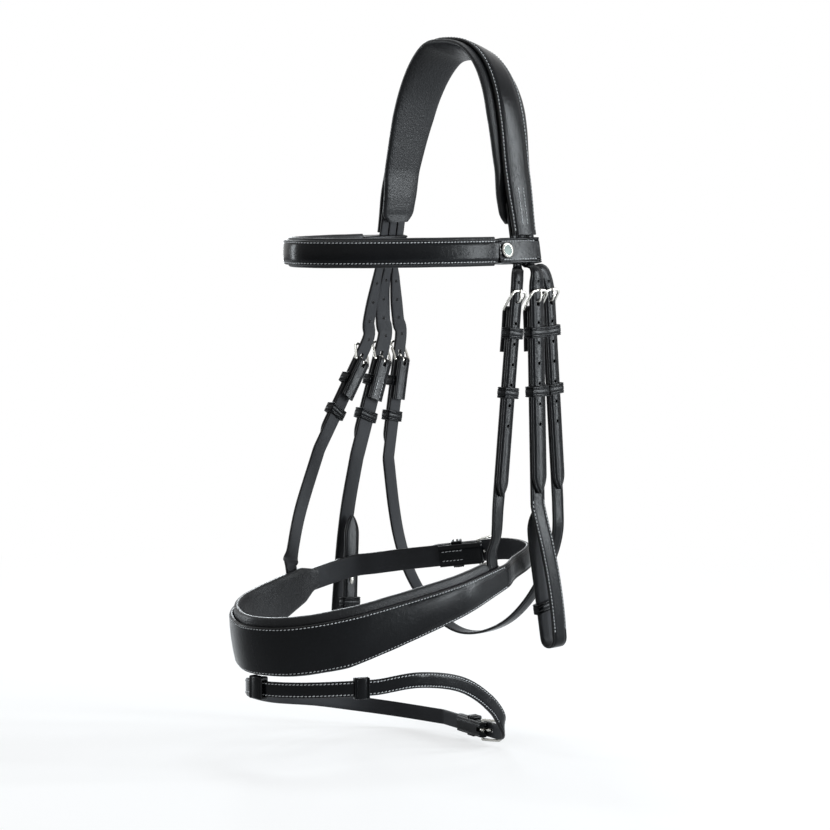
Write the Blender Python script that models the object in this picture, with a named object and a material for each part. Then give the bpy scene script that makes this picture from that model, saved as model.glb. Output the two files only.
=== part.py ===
"""A padded show bridle hanging from the poll: crown, browband, cheekpieces, noseband, flash and throatlatch.

Metres, +Z up. The horse faces -Y and its near (left) side is +X.
The origin is where the horse's poll carries the crown's padding.
Places are shares of three driving sizes: outwards, backwards and down.
"""

import math

import bmesh
import bpy
from mathutils import Matrix, Vector

# Driving sizes
SPREAD = 0.100           # outwards: the cheekpieces hang at nine tenths of it
REACH = 0.200            # backwards, and forwards over the nose
DROP = 0.500             # from the poll down to the bit loops

# Leather
SEAM = 0.0003            # gap between pieces that touch
BILLET = 0.0030          # thickness of a strap end with holes
STRAP = 0.0022           # thickness of a hanging strap
EDGE = 0.0006            # bevel along a strap's edges
CHEEK = 0.016            # width of a cheekpiece
NARROW = 0.013           # width of a noseband hanger and of the throatlatch
SEWN = 0.0088            # width of a strap end where it is sewn into the crown
SEWN_GAP = 0.0006
SEWN_LONG = 0.028        # how far the strap ends reach up into the crown

# Buckles
WIRE = 0.0010            # half thickness of a buckle's bar
FRAME = 0.0155           # from a buckle's bar to its top
SIDE_PLAY = 0.0008       # between a strap's edge and the frame
TONGUE = 0.0012          # thickness of a tongue
TONGUE_WIDTH = 0.0022
SLOT_PLAY = 0.0006       # beside a tongue, in leather
CHAPE = 0.034            # length of the turned-back strap end behind the bar
HOLE = 0.0015            # radius of a punched hole
HOLE_PITCH = 0.0165
KEEPER = 0.009           # length of a keeper along the strap
KEEPER_WALL = 0.0016
KEEPER_PLAY = 0.0006     # beside the strap in a keeper
KEEPER_DOWN = 0.014      # from a bar to the fixed keeper
TAIL = 0.150             # near strap ends, from the bar to the tip
SHORT_TAIL = 0.075       # far strap ends
BAND_TAIL = 0.052        # noseband and flash strap ends
LEAD = 0.018             # straight strap above a bar
PAST_TIP = 0.010         # straight strap below a tip
RUNNER_DOWN = 0.062      # from a near bar to its sliding runner
SHORT_RUNNER_DOWN = 0.044
HANGER_AHEAD = 0.025     # from a cheekpiece's buckle forwards to the hanger's
THROAT_BEHIND = 0.023    # and backwards to the throatlatch's

# Crown
CROWN = 0.030            # width of the outer leather
CROWN_THICK = 0.0026
CROWN_PAD = 0.046        # width of the padding at the poll
CROWN_PAD_END = 0.034
CROWN_PAD_THICK = 0.0060
CROWN_END = 0.004        # from the crown's end down to the browband loops
CROWN_PAD_STOP = 0.012
POLL_TILT = math.radians(17)
TILT_FADES = 0.090       # how far below the poll the crown hangs level
END_LEAN = math.radians(10)

# Browband
BROW = 0.0195            # height of its leather
BROW_THICK = 0.0026
BROW_PAD = 0.0235
BROW_PAD_THICK = 0.0050
BROW_BULGE = 0.0835      # half the width of its curve
BROW_FORWARD = 0.176     # how far it stands in front of the loops' middle
LOOP_HIGH = 0.0215
LOOP_FRONT = 0.034       # how far a loop reaches forwards to the browband
LOOP_WALL = 0.0022
LOOP_PLAY = 0.0006
BUTTON = 0.0062
BUTTON_HIGH = 0.0024
BUTTON_FRONT = 0.0245

# Noseband
BAND_TILT = math.radians(9.5)
BAND_DROP = 0.4201       # from the poll to the noseband's middle line, above the jaw
NOSE = 0.039             # height of the leather over the nose
NOSE_BACK = 0.0185       # height of the strap behind the jaw
NEAR_GROWS = 0.010       # where the height starts to grow forwards, on each side
FAR_GROWS = 0.100
NOSE_GROWN = 0.185
NOSE_PAD_STOP = 0.090    # where the padding ends on the far side
NOSE_PAD_THICK = 0.0066
NOSE_ROLL = 0.0065       # how far the padding stands above the leather
NOSE_HEM = 0.0022        # how far it stands below
HANGER_SEAT = 0.013      # how deep a hanger is sewn into the noseband

# Flash
FLASH = 0.0125
FLASH_THICK = 0.0022
FLASH_LOOP = 0.014       # length of its loop under the noseband
FLASH_LOOP_WALL = 0.0018
FLASH_SWING_PLAY = 0.0019
FLASH_RUNNER = 0.0125

# Bit loops
BIT_BEND = 0.007         # radius of the strap's turn round a bit ring
BIT_KEEPER_PLAY = 0.0005

NEAR, FAR = 1, -1
FACETS = 8
STEPS = 3
FOLD_STEPS = 7
BEND_STEPS = 6
BROW_STEPS = 26
NEAR_HOLES = (-1, 1, 2, 3, 4, 5, 6)
FAR_HOLES = (-4, -3, -2, -1, 1, 2)
SHARP = math.radians(35)

UP = Vector((0, 0, 1))
BACKWARDS = Vector((0, 1, 0))
OUTWARDS = Vector((1, 0, 0))
BAND_NORMAL = Vector((0, -math.sin(BAND_TILT), math.cos(BAND_TILT)))

BLACK = (0.012, 0.012, 0.013, 1)
SOFT_BLACK = (0.018, 0.018, 0.019, 1)
STEEL = (0.78, 0.76, 0.72, 1)

# Heights above the middle of a strap end, at a buckle
UNDER = -(BILLET / 2 + SEAM + STRAP / 2)            # middle of the strap below it
FOLD = WIRE + SEAM + STRAP / 2                      # radius of the strap's fold round the bar
BAR = UNDER - FOLD                                  # middle of the bar
BACK = UNDER - STRAP - KEEPER_WALL - 2 * SEAM       # middle of the turned-back end
TOP = BILLET / 2 + 2 * SEAM + WIRE                  # middle of the frame's top
STACK_LOW = UNDER - STRAP / 2 - SEAM
STACK_HIGH = BILLET / 2 + SEAM
CROWN_FLOOR = BILLET / 2 + SEAM                     # the crown leather's inner face, above the strap ends


def clear_scene():
    for thing in list(bpy.data.objects):
        bpy.data.objects.remove(thing, do_unlink=True)


def place(share):
    """A point from shares of the driving sizes, the last one counted downwards."""
    return Vector((share[0] * SPREAD, share[1] * REACH, -share[2] * DROP))


def places(shares):
    return [place(share) for share in shares]


def material(name, colour, roughness, metallic):
    made = bpy.data.materials.new(name)
    made.use_nodes = True
    shader = made.node_tree.nodes["Principled BSDF"]
    shader.inputs["Base Color"].default_value = colour
    shader.inputs["Roughness"].default_value = roughness
    shader.inputs["Metallic"].default_value = metallic
    return made


def leather(name):
    return material(name + "_leather", BLACK, 0.35, 0)


def soft(name):
    return material(name + "_soft", SOFT_BLACK, 0.6, 0)


def steel(name):
    return material(name + "_steel", STEEL, 0.2, 1)


def body(name, pivot):
    """An empty on a joint's axis that carries the pieces which move together."""
    empty = bpy.data.objects.new(name, None)
    empty.location = pivot
    bpy.context.collection.objects.link(empty)
    return empty


def piece(name, mesh_data, skin, carrier, matrix=Matrix()):
    """An object for a finished mesh, carried by a body's empty."""
    mesh = bpy.data.meshes.new(name)
    bmesh.ops.recalc_face_normals(mesh_data, faces=mesh_data.faces)
    mesh_data.to_mesh(mesh)
    mesh_data.free()
    mesh.shade_smooth()
    mesh.set_sharp_from_angle(angle=SHARP)
    mesh.materials.append(skin)
    made = bpy.data.objects.new(name, mesh)
    bpy.context.collection.objects.link(made)
    made.parent = carrier
    made.matrix_basis = Matrix.Translation(-carrier.location) @ matrix
    return made


def cut(target, name, mesh_data, matrix=Matrix()):
    """Takes a shape out of a piece; the cutter stays as a wire guide."""
    tool = piece(f"{target.name}_{name}", mesh_data, None, target.parent, matrix)
    tool.hide_render = True
    tool.display_type = "WIRE"
    change = target.modifiers.new(name, "BOOLEAN")
    change.operation = "DIFFERENCE"
    change.solver = "EXACT"
    change.object = tool


def smooth(points, straight=(), steps=STEPS):
    """A Catmull-Rom curve through the points; the numbered stretches stay straight."""
    path = [points[0].copy()]
    for i in range(len(points) - 1):
        p1, p2 = points[i], points[i + 1]
        if i in straight:
            path.append(p2.copy())
            continue
        p0 = points[i - 1] if i else p1 * 2 - p2
        p3 = points[i + 2] if i + 2 < len(points) else p2 * 2 - p1
        for k in range(1, steps + 1):
            t = k / steps
            path.append(0.5 * (2 * p1 + (p2 - p0) * t + (2 * p0 - 5 * p1 + 4 * p2 - p3) * t * t
                               + (3 * p1 - p0 - 3 * p2 + p3) * t * t * t))
    return path


def lengths_along(path):
    run = [0.0]
    for a, b in zip(path, path[1:]):
        run.append(run[-1] + (b - a).length)
    return run


def tangents(path):
    last = len(path) - 1
    found = []
    for i in range(last + 1):
        before = (path[i] - path[i - 1]).normalized() if i else Vector()
        after = (path[i + 1] - path[i]).normalized() if i < last else Vector()
        found.append((before + after).normalized())
    return found


def strap_section(width, thickness):
    """A strap's section: a rectangle with its corners taken off."""
    a, h = width / 2, thickness / 2
    c = min(EDGE, h / 2)
    return [(-a, -h + c), (-a, h - c), (-a + c, h), (a - c, h),
            (a, h - c), (a, -h + c), (a - c, -h), (-a + c, -h)]


def pad_section(width, thickness):
    """A padded section: nearly flat faces with a full round roll along each edge."""
    a, h = width / 2, thickness / 2
    corner_share, face_share, count = 0.55, 0.5, 12
    points = []
    for k in range(count):
        angle = 2 * math.pi * (k + 0.5) / count
        x, y = math.cos(angle), math.sin(angle)
        points.append((a * math.copysign(abs(x) ** corner_share, x),
                       h * math.copysign(abs(y) ** face_share, y)))
    return points


def value(rule, run, point):
    """A fixed value, or one that a rule gives for the length run so far and the point."""
    return rule(run, point) if callable(rule) else rule


def ribbon(path, across, width, thickness, lift=0, shift=0, section=strap_section):
    """A strap swept along a path. Lift moves it outwards and shift sideways."""
    mesh = bmesh.new()
    rings = []
    for point, along, run in zip(path, tangents(path), lengths_along(path)):
        wide = value(across, run, point)
        wide = (wide - along * wide.dot(along)).normalized()
        out = along.cross(wide)
        centre = point + out * value(lift, run, point) + wide * value(shift, run, point)
        outline = section(value(width, run, point), value(thickness, run, point))
        rings.append([mesh.verts.new(centre + wide * x + out * y) for x, y in outline])
    count = len(rings[0])
    for a, b in zip(rings, rings[1:]):
        for k in range(count):
            mesh.faces.new((a[k], a[(k + 1) % count], b[(k + 1) % count], b[k]))
    mesh.faces.new(rings[0])
    mesh.faces.new(rings[-1])
    return mesh


def tube(points, radius):
    """A closed round bar along a flat loop of points."""
    mesh = bmesh.new()
    rings = []
    count = len(points)
    level = (points[1] - points[0]).cross(points[count // 2] - points[0]).normalized()
    for i, point in enumerate(points):
        ahead, behind = points[(i + 1) % count] - point, point - points[i - 1]
        along = (ahead.normalized() + behind.normalized()).normalized()
        side = along.cross(level)
        ring = []
        for k in range(FACETS):
            turn = 2 * math.pi * (k + 0.5) / FACETS
            ring.append(mesh.verts.new(point + (level * math.cos(turn) + side * math.sin(turn)) * radius))
        rings.append(ring)
    for i in range(count):
        a, b = rings[i], rings[(i + 1) % count]
        for k in range(FACETS):
            mesh.faces.new((a[k], a[(k + 1) % FACETS], b[(k + 1) % FACETS], b[k]))
    return mesh


def collar(inner, outer, length):
    """A rectangular sleeve along X, between outlines given as (low y, low z, high y, high z)."""
    mesh = bmesh.new()

    def ring(x, outline, bevel):
        y0, z0, y1, z1 = outline
        corners = [(y0, z0 + bevel), (y0 + bevel, z0), (y1 - bevel, z0), (y1, z0 + bevel),
                   (y1, z1 - bevel), (y1 - bevel, z1), (y0 + bevel, z1), (y0, z1 - bevel)]
        return [mesh.verts.new((x, y, z)) for y, z in corners]

    loops = [ring(0, outer, EDGE), ring(length, outer, EDGE), ring(length, inner, SEAM), ring(0, inner, SEAM)]
    for a, b in zip(loops, loops[1:] + loops[:1]):
        for k in range(FACETS):
            mesh.faces.new((a[k], a[(k + 1) % FACETS], b[(k + 1) % FACETS], b[k]))
    return mesh


def block(low, high):
    mesh = bmesh.new()
    bmesh.ops.create_cube(mesh, size=1)
    low, size = Vector(low), Vector(high) - Vector(low)
    for vert in mesh.verts:
        vert.co = low + Vector([(vert.co[i] + 0.5) * size[i] for i in range(3)])
    return mesh


def round_bar(radius, length, sides=FACETS):
    mesh = bmesh.new()
    bmesh.ops.create_cone(mesh, cap_ends=True, segments=sides, radius1=radius, radius2=radius, depth=length)
    return mesh


class Station:
    """A place on a strap: x runs down the strap, y across it and z out of it."""

    def __init__(self, origin, down, out):
        self.down = down.normalized()
        self.out = (out - self.down * out.dot(self.down)).normalized()
        self.across = self.out.cross(self.down)
        self.origin = origin
        turn = Matrix((self.down, self.across, self.out)).transposed()
        self.matrix = Matrix.Translation(origin) @ turn.to_4x4()

    def point(self, down, out=0, across=0):
        return self.origin + self.down * down + self.out * out + self.across * across


def buckle_frame(name, station, width, carrier):
    """A closed frame: a straight bar, two sides and an arched top that stands over the strap end."""
    half = width / 2 + SIDE_PLAY + WIRE
    side_shares = ((0, 1, 0), (0.5, 1, 0.56), (0.8, 0.95, 0.94), (0.95, 0.72, 1), (1, 0.25, 1))
    side = [Vector((-FRAME * up, half * out, BAR + (TOP - BAR) * rise)) for up, out, rise in side_shares]
    points = side + [Vector((p.x, -p.y, p.z)) for p in reversed(side)]
    return piece(name, tube(points, WIRE), steel(name), carrier, station.matrix)


def buckle_tongue(name, station, carrier):
    """A flat wire bent round the bar, up through the strap's hole and over the frame's top."""
    curl = WIRE + SEAM + TONGUE / 2
    wrap, turns = math.radians(250), 6
    path = []
    for k in range(turns + 1):
        turn = wrap * (1 - k / turns)
        path.append(Vector((math.sin(turn), 0, math.cos(turn))) * curl)
    over = TOP - BAR + WIRE + SEAM + TONGUE / 2
    path.append(Vector((-FRAME * 0.28, 0, -BAR + UNDER)))
    path.append(Vector((-FRAME * 0.42, 0, -BAR + BILLET / 2 + TONGUE)))
    path.append(Vector((-FRAME * 0.62, 0, over - TONGUE / 4)))
    path.append(Vector((-FRAME - WIRE, 0, over)))
    mesh = ribbon(path, BACKWARDS, TONGUE_WIDTH, TONGUE)
    return piece(name, mesh, steel(name), carrier, station.matrix @ Matrix.Translation((0, 0, BAR)))


def keeper(name, station, width, down, carrier, length=KEEPER):
    """A flat leather ring round a strap end and the strap below it."""
    half = width / 2 + KEEPER_PLAY
    inner = (-half, STACK_LOW, half, STACK_HIGH)
    wall = KEEPER_WALL
    outer = (-half - wall, STACK_LOW - wall, half + wall, STACK_HIGH + wall)
    matrix = station.matrix @ Matrix.Translation((down, 0, 0))
    return piece(name, collar(inner, outer, length), leather(name), carrier, matrix)


def sleeve(name, station, width, thickness, play, length, carrier):
    """A flat leather ring round one strap, centred on the station."""
    half, deep, wall = width / 2 + play, thickness / 2 + play, KEEPER_WALL
    inner = (-half, -deep, half, deep)
    outer = (-half - wall, -deep - wall, half + wall, deep + wall)
    matrix = station.matrix @ Matrix.Translation((-length / 2, 0, 0))
    return piece(name, collar(inner, outer, length), leather(name), carrier, matrix)


def tongue_slot(target, name, station):
    """The slot through a folded strap end, where the tongue turns on the bar."""
    half = TONGUE_WIDTH / 2 + SLOT_PLAY
    reach = FOLD + STRAP
    mesh = block((-reach, -half, BACK - STRAP), (reach, half, UNDER + STRAP))
    cut(target, name, mesh, station.matrix)


def tongue_hole(target, station):
    """The hole that the tongue comes up through."""
    half = TONGUE_WIDTH / 2 + SLOT_PLAY
    middle = -FRAME * 0.38
    mesh = block((middle - BILLET, -half, -BILLET), (middle + BILLET, half, BILLET))
    cut(target, "tongue_hole", mesh, station.matrix)


def spare_holes(target, path, across, tail, holes):
    """Round holes along a strap end, counted in pitches down from the tongue's own hole."""
    run = lengths_along(path)
    for k in holes:
        want = run[-1] - tail - FRAME * 0.38 + HOLE_PITCH * k
        i = max(j for j in range(len(run) - 1) if run[j] <= want)
        along = (path[i + 1] - path[i]).normalized()
        spot = Station(path[i] + along * (want - run[i]), along, along.cross(across))
        cut(target, f"hole_{k + len(FAR_HOLES)}", round_bar(HOLE, 2 * BILLET), spot.matrix)


def folded_end(station, start):
    """A strap from a given length below the bar, up and over it, and back down behind."""
    path = [station.point(start, UNDER), station.point(0, UNDER)]
    for k in range(1, FOLD_STEPS):
        turn = math.pi * k / FOLD_STEPS
        path.append(station.point(-FOLD * math.sin(turn), BAR + FOLD * math.cos(turn)))
    path.append(station.point(0, BAR - FOLD))
    path.append(station.point(KEEPER_DOWN - KEEPER_WALL, BACK))
    path.append(station.point(CHAPE, BACK))
    return path


def guide(hint, *stations):
    """The direction of a strap's width: a station's own near its bar, and the hint elsewhere."""
    def across(run, point):
        for station in stations:
            if (point - station.origin).length < CHAPE + STRAP:
                return station.across * math.copysign(1, station.across.dot(hint))
        return hint
    return across


def billet(name, station, width, tail, side, lane, bend_shares, holes, carrier):
    """A strap end sewn into the crown, through the browband loop and its buckle to a pointed tip."""
    crown_end = crown_end_station(side)
    offset = lane * (SEWN + SEWN_GAP)
    tops = [crown_end.point(down, 0, offset)
            for down in (-SEWN_LONG, 0, LOOP_HIGH + SEAM, LOOP_HIGH + BILLET)]
    points = tops + places(bend_shares)
    bends = len(points)
    points += [station.point(-LEAD), station.point(tail - width), station.point(tail)]
    path = smooth(points, straight=(0, 1, 2, bends, bends + 1))
    run = lengths_along(path)
    fan, grown, whole = run[3], run[-3], run[-1]

    def wide(along, point):
        grow = min(1, max(0, (along - fan) / (grown - fan)))
        full = SEWN + (width - SEWN) * grow * grow
        return full * min(1, 0.3 + 0.7 * (whole - along) / width)

    made = piece(name, ribbon(path, crown_end.across, wide, BILLET), leather(name), carrier)
    tongue_hole(made, station)
    spare_holes(made, path, crown_end.across, tail, holes)


def buckle_set(prefix, station, width, carrier, runner_down=0):
    """A buckle's frame and keeper, its tongue on the bar and, where there is one, its sliding runner."""
    buckle_frame(prefix + "_buckle", station, width, carrier)
    buckle_tongue(prefix + "_tongue", station, body(prefix + "_tongue_body", station.point(0, BAR)))
    keeper(prefix + "_keeper", station, width, KEEPER_DOWN, carrier)
    if runner_down:
        slider = body(prefix + "_runner_body", station.point(runner_down))
        keeper(prefix + "_runner", station, width, runner_down, slider)


def side_name(side):
    return "near" if side == NEAR else "far"


def crown_end_station(side):
    """The middle of the three strap ends, where they meet the browband's loop."""
    down = Vector((side * math.sin(END_LEAN), 0, -math.cos(END_LEAN)))
    return Station(place((0.755 * side, 0, 0.300)), down, OUTWARDS * side)


def under_loop(side):
    """Just below a browband loop, where the straps begin to swing."""
    return crown_end_station(side).point(LOOP_HIGH + BILLET)


def crown_path(stop):
    """The crown leather's inner face from the near end, over the poll, to the far end."""
    near_arch_shares = ((0.668, 0, 0.180), (0.625, 0, 0.118), (0.555, 0, 0.064), (0.435, 0, 0.022),
                        (0.250, 0, -0.006))
    far_arch_shares = ((-0.160, 0, -0.006), (-0.310, 0, 0.022), (-0.445, 0, 0.066), (-0.550, 0, 0.120),
                       (-0.640, 0, 0.180))
    ends = []
    for side in (NEAR, FAR):
        end = crown_end_station(side)
        ends.append([end.point(-stop, CROWN_FLOOR), end.point(-SEWN_LONG - BILLET, CROWN_FLOOR)])
    top = Vector((0, 0, CROWN_PAD_THICK + SEAM))
    points = ends[0] + places(near_arch_shares) + [top] + places(far_arch_shares) + list(reversed(ends[1]))
    return smooth(points, straight=(0, len(points) - 2))


def make_crown(root):
    """The poll strap: sewn leather outside, a wider padded lining inside."""
    def tilt(run, point):
        """The width is level at the ends and tilted over the poll."""
        blend = min(1, max(0, 1 + point.z / TILT_FADES))
        turn = POLL_TILT * blend * blend * (3 - 2 * blend)
        return Vector((0, -math.cos(turn), math.sin(turn)))

    piece("crown_leather", ribbon(crown_path(CROWN_END), tilt, CROWN, CROWN_THICK, lift=CROWN_THICK / 2),
          leather("crown"), root)

    pad_path = crown_path(CROWN_PAD_STOP)
    whole = lengths_along(pad_path)[-1]

    def pad_width(run, point):
        from_end = min(run, whole - run)
        grow = min(1, from_end / TILT_FADES)
        round_off = min(1, 0.7 + 0.3 * from_end / CROWN_PAD_THICK)
        return (CROWN_PAD_END + (CROWN_PAD - CROWN_PAD_END) * grow) * round_off

    def pad_lift(run, point):
        """Near its ends the padding leaves room for the strap ends under the leather."""
        clear = SEWN_LONG - CROWN_PAD_STOP + BILLET
        fade = min(1, max(0, (min(run, whole - run) - clear) / SEWN_LONG))
        room = (BILLET + SEAM) * (1 - fade * fade * (3 - 2 * fade))
        return -(SEAM + CROWN_PAD_THICK / 2 + room)

    mesh = ribbon(pad_path, tilt, pad_width, CROWN_PAD_THICK, lift=pad_lift, section=pad_section)
    piece("crown_padding", mesh, soft("crown"), root)


def make_browband():
    """The band across the forehead, with a loop at each end round the crown's strap ends."""
    near_end = crown_end_station(NEAR)
    level = near_end.point(LOOP_HIGH / 2)
    carrier = body("browband", Vector((0, 0, near_end.origin.z)))
    half_bundle = 1.5 * SEWN + SEWN_GAP
    loop_out = BILLET / 2 + SEAM + LOOP_WALL
    back = half_bundle + LOOP_PLAY
    for side in (NEAR, FAR):
        end = crown_end_station(side)
        name = side_name(side) + "_loop"
        deep = BILLET / 2 + SEAM
        ends = sorted((-LOOP_FRONT * side, (back + LOOP_WALL) * side))
        inner = (-back, -deep, back, deep)
        outer = (ends[0], -loop_out, ends[1], loop_out)
        matrix = end.matrix @ Matrix.Translation((SEAM, 0, 0))
        piece("browband_" + name, collar(inner, outer, LOOP_HIGH - SEAM), leather(name), carrier, matrix)
        seat = end.point(LOOP_HIGH / 2, loop_out + SEAM + BUTTON_HIGH / 2, -BUTTON_FRONT * side)
        spot = Station(seat, end.down, end.out)
        name = side_name(side) + "_button"
        piece("browband_" + name, round_bar(BUTTON, BUTTON_HIGH, 2 * FACETS), steel(name), carrier,
              spot.matrix)

    start = LOOP_FRONT + SEAM
    first = math.asin((start + BROW_PAD_THICK) / BROW_FORWARD)
    path = []
    for k in range(BROW_STEPS + 1):
        turn = first + (math.pi - 2 * first) * k / BROW_STEPS
        path.append(Vector((BROW_BULGE * math.cos(turn), -BROW_FORWARD * math.sin(turn), level.z)))
    for end, at in ((path[0], 0), (path[-1], len(path) + 1)):
        path.insert(at, Vector((end.x, -start, end.z)))
    mesh = ribbon(path, -UP, BROW, BROW_THICK, lift=-BROW_THICK / 2)
    piece("browband_leather", mesh, leather("browband"), carrier)
    inside = BROW_THICK + SEAM + BROW_PAD_THICK / 2
    mesh = ribbon(path, -UP, BROW_PAD, BROW_PAD_THICK, lift=-inside, section=pad_section)
    piece("browband_padding", mesh, soft("browband"), carrier)


def cheek_strap(word, side, station, tail, down, back, carrier):
    """A cheekpiece: folded round its bar at the top and turned up round the bit ring's place at the bottom.

    Returns the place of the keeper on the turned-up end.
    """
    middle = down[-1] - OUTWARDS * side * BIT_BEND
    bend = []
    for k in range(BEND_STEPS):
        turn = math.pi * (k + 0.5) / BEND_STEPS
        bend.append(middle + (OUTWARDS * side * math.cos(turn) - UP * math.sin(turn)) * BIT_BEND)
    back = [middle - OUTWARDS * side * BIT_BEND] + back
    fold = folded_end(station, tail + PAST_TIP)
    path = list(reversed(fold)) + smooth(fold[:1] + down)[1:] + bend + smooth(back)
    whole = lengths_along(path)[-1]

    def wide(run, point):
        return CHEEK * min(1, 0.3 + 0.7 * (whole - run) / CHEEK)

    name = word + "_cheek_strap"
    made = piece(name, ribbon(path, guide(BACKWARDS, station), wide, STRAP), leather(name), carrier)
    tongue_slot(made, "bar_slot", station)
    return Station(back[1], back[0] - back[2], OUTWARDS * side)


def make_cheeks():
    """The two cheekpieces, each from its strap end in the crown to its bit loop."""
    near = Station(place((0.885, 0.020, 0.416)), Vector((0.01, 0.02, -1)), OUTWARDS)
    far = Station(place((-0.900, -0.005, 0.516)), Vector((0, -0.34, -0.94)), -OUTWARDS)
    far_bend_shares = ((-0.840, 0.002, 0.400), (-0.880, 0.015, 0.450))
    near_lower_shares = ((0.880, 0.055, 0.765), (0.888, 0.085, 0.805), (0.893, 0.120, 0.860),
                         (0.893, 0.148, 0.915), (0.890, 0.165, 0.962))
    near_return_shares = ((0.748, 0.142, 0.910), (0.765, 0.095, 0.830), (0.795, 0.060, 0.780),
                          (0.820, 0.045, 0.745))
    far_lower_shares = ((-0.905, -0.180, 0.750), (-0.920, -0.200, 0.810), (-0.920, -0.218, 0.870),
                        (-0.920, -0.232, 0.925), (-0.918, -0.240, 0.966))
    far_return_shares = ((-0.790, -0.230, 0.920), (-0.810, -0.215, 0.860), (-0.830, -0.200, 0.815),
                         (-0.850, -0.188, 0.775))
    plans = ((NEAR, near, TAIL, (), NEAR_HOLES, near_lower_shares, near_return_shares, RUNNER_DOWN),
             (FAR, far, SHORT_TAIL, far_bend_shares, FAR_HOLES, far_lower_shares, far_return_shares,
              SHORT_RUNNER_DOWN))
    for side, station, tail, bend_shares, holes, lower_shares, return_shares, runner_down in plans:
        word = side_name(side)
        carrier = body(word + "_cheek", under_loop(side))
        billet(word + "_cheek_billet", station, CHEEK, tail, side, 0, bend_shares, holes, carrier)
        spot = cheek_strap(word, side, station, tail, places(lower_shares), places(return_shares), carrier)
        buckle_set(word + "_cheek", station, CHEEK, carrier, runner_down)
        sleeve(word + "_bit_keeper", spot, CHEEK, STRAP, BIT_KEEPER_PLAY, KEEPER, carrier)


def band_place(across_share, back_share):
    """A point on the noseband's middle line, on its tilted plane."""
    y = back_share * REACH
    return Vector((across_share * SPREAD, y, math.tan(BAND_TILT) * y - BAND_DROP))


def band_height(run, point):
    """The leather's height grows from the jaw strap to the nose."""
    grows = NEAR_GROWS if point.x > 0 else FAR_GROWS
    grow = min(1, max(0, (-point.y - grows) / (NOSE_GROWN - grows)))
    return NOSE_BACK + (NOSE - NOSE_BACK) * grow


def band_shift(run, point):
    """The extra height hangs below the jaw strap's line."""
    return (band_height(run, point) - NOSE_BACK) / 2


def band_station(path, side, back):
    """A place on the noseband at a given reach on one side, facing outwards, x running down."""
    for a, b in zip(path, path[1:]):
        if a.x * side > 0 and (a.y - back) * (b.y - back) <= 0 and a.y != b.y:
            spot = a.lerp(b, (back - a.y) / (b.y - a.y))
            out = (b - a).cross(-BAND_NORMAL)
            return Station(spot, -BAND_NORMAL, out)
    return None


def make_noseband(carrier):
    """The noseband's leather: one strap, wide over the nose, buckled behind the jaw."""
    ring_shares = ((0.520, 0.175), (0.690, -0.010), (0.782, -0.100), (0.806, -0.200), (0.835, -0.400),
                   (0.745, -0.695),
                   (0.620, -0.925), (0.370, -1.095), (0, -1.150), (-0.330, -1.085), (-0.540, -0.980),
                   (-0.640, -0.850), (-0.700, -0.690), (-0.755, -0.500), (-0.730, -0.255), (-0.600, -0.172))
    down = Vector((-0.75, -0.66, -0.66 * math.tan(BAND_TILT)))
    station = Station(band_place(0.020, 0.140), down, BAND_NORMAL.cross(-down))
    ring = [band_place(*share) for share in ring_shares]
    points = [station.point(BAND_TAIL), station.point(BAND_TAIL - NOSE_BACK), station.point(-LEAD)] + ring
    fold = folded_end(station, BAND_TAIL + PAST_TIP)
    near_seat, far_seat = len(points) - len(ring) + 2, len(points) - 4
    round_face = smooth(points + fold[:1], straight=(0, 1, near_seat, far_seat))
    strap_from = lengths_along(round_face)[-1]

    def height(run, point):
        return band_height(run, point) * min(1, 0.3 + 0.7 * run / NOSE_BACK)

    def thick(run, point):
        return STRAP if run > strap_from - STRAP else BILLET

    mesh = ribbon(round_face + fold[1:], -BAND_NORMAL, height, thick, shift=band_shift)
    made = piece("noseband_leather", mesh, leather("noseband"), carrier)
    tongue_hole(made, station)
    tongue_slot(made, "bar_slot", station)
    buckle_set("noseband", station, NOSE_BACK, carrier)
    return round_face


def make_noseband_padding(path, seats, carrier):
    """The lining, rolled over the leather's edges, with a pocket where each hanger is sewn in."""
    front = [point for point in path if point.y < -NARROW]
    first = max(i for i, point in enumerate(front) if point.x > 0 and point.y > -2 * NARROW)
    last = max(i for i, point in enumerate(front) if point.y < -NOSE_PAD_STOP)
    padded = front[first:last + 1]
    whole = lengths_along(padded)[-1]

    def round_off(run):
        left = min(run, whole - run)
        return min(1, 0.55 + 0.45 * left / NOSE_BACK)

    def height(run, point):
        return (band_height(run, point) + NOSE_ROLL + NOSE_HEM) * round_off(run)

    def shift(run, point):
        return band_shift(run, point) + (NOSE_HEM - NOSE_ROLL) / 2

    inside = BILLET / 2 + SEAM + NOSE_PAD_THICK / 2
    mesh = ribbon(padded, -BAND_NORMAL, height, NOSE_PAD_THICK, lift=-inside, shift=shift,
                  section=pad_section)
    made = piece("noseband_padding", mesh, soft("noseband"), carrier)
    for number, seat in enumerate(seats):
        half = NARROW / 2 + 2 * SEAM
        top = -NOSE_BACK / 2
        deep = -BILLET / 2 - STRAP - 3 * SEAM
        mesh = block((top - 2 * NOSE_ROLL, -half, deep), (top + HANGER_SEAT + SEAM, half, BILLET))
        cut(made, f"pocket_{number}", mesh, seat.matrix)


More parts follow.
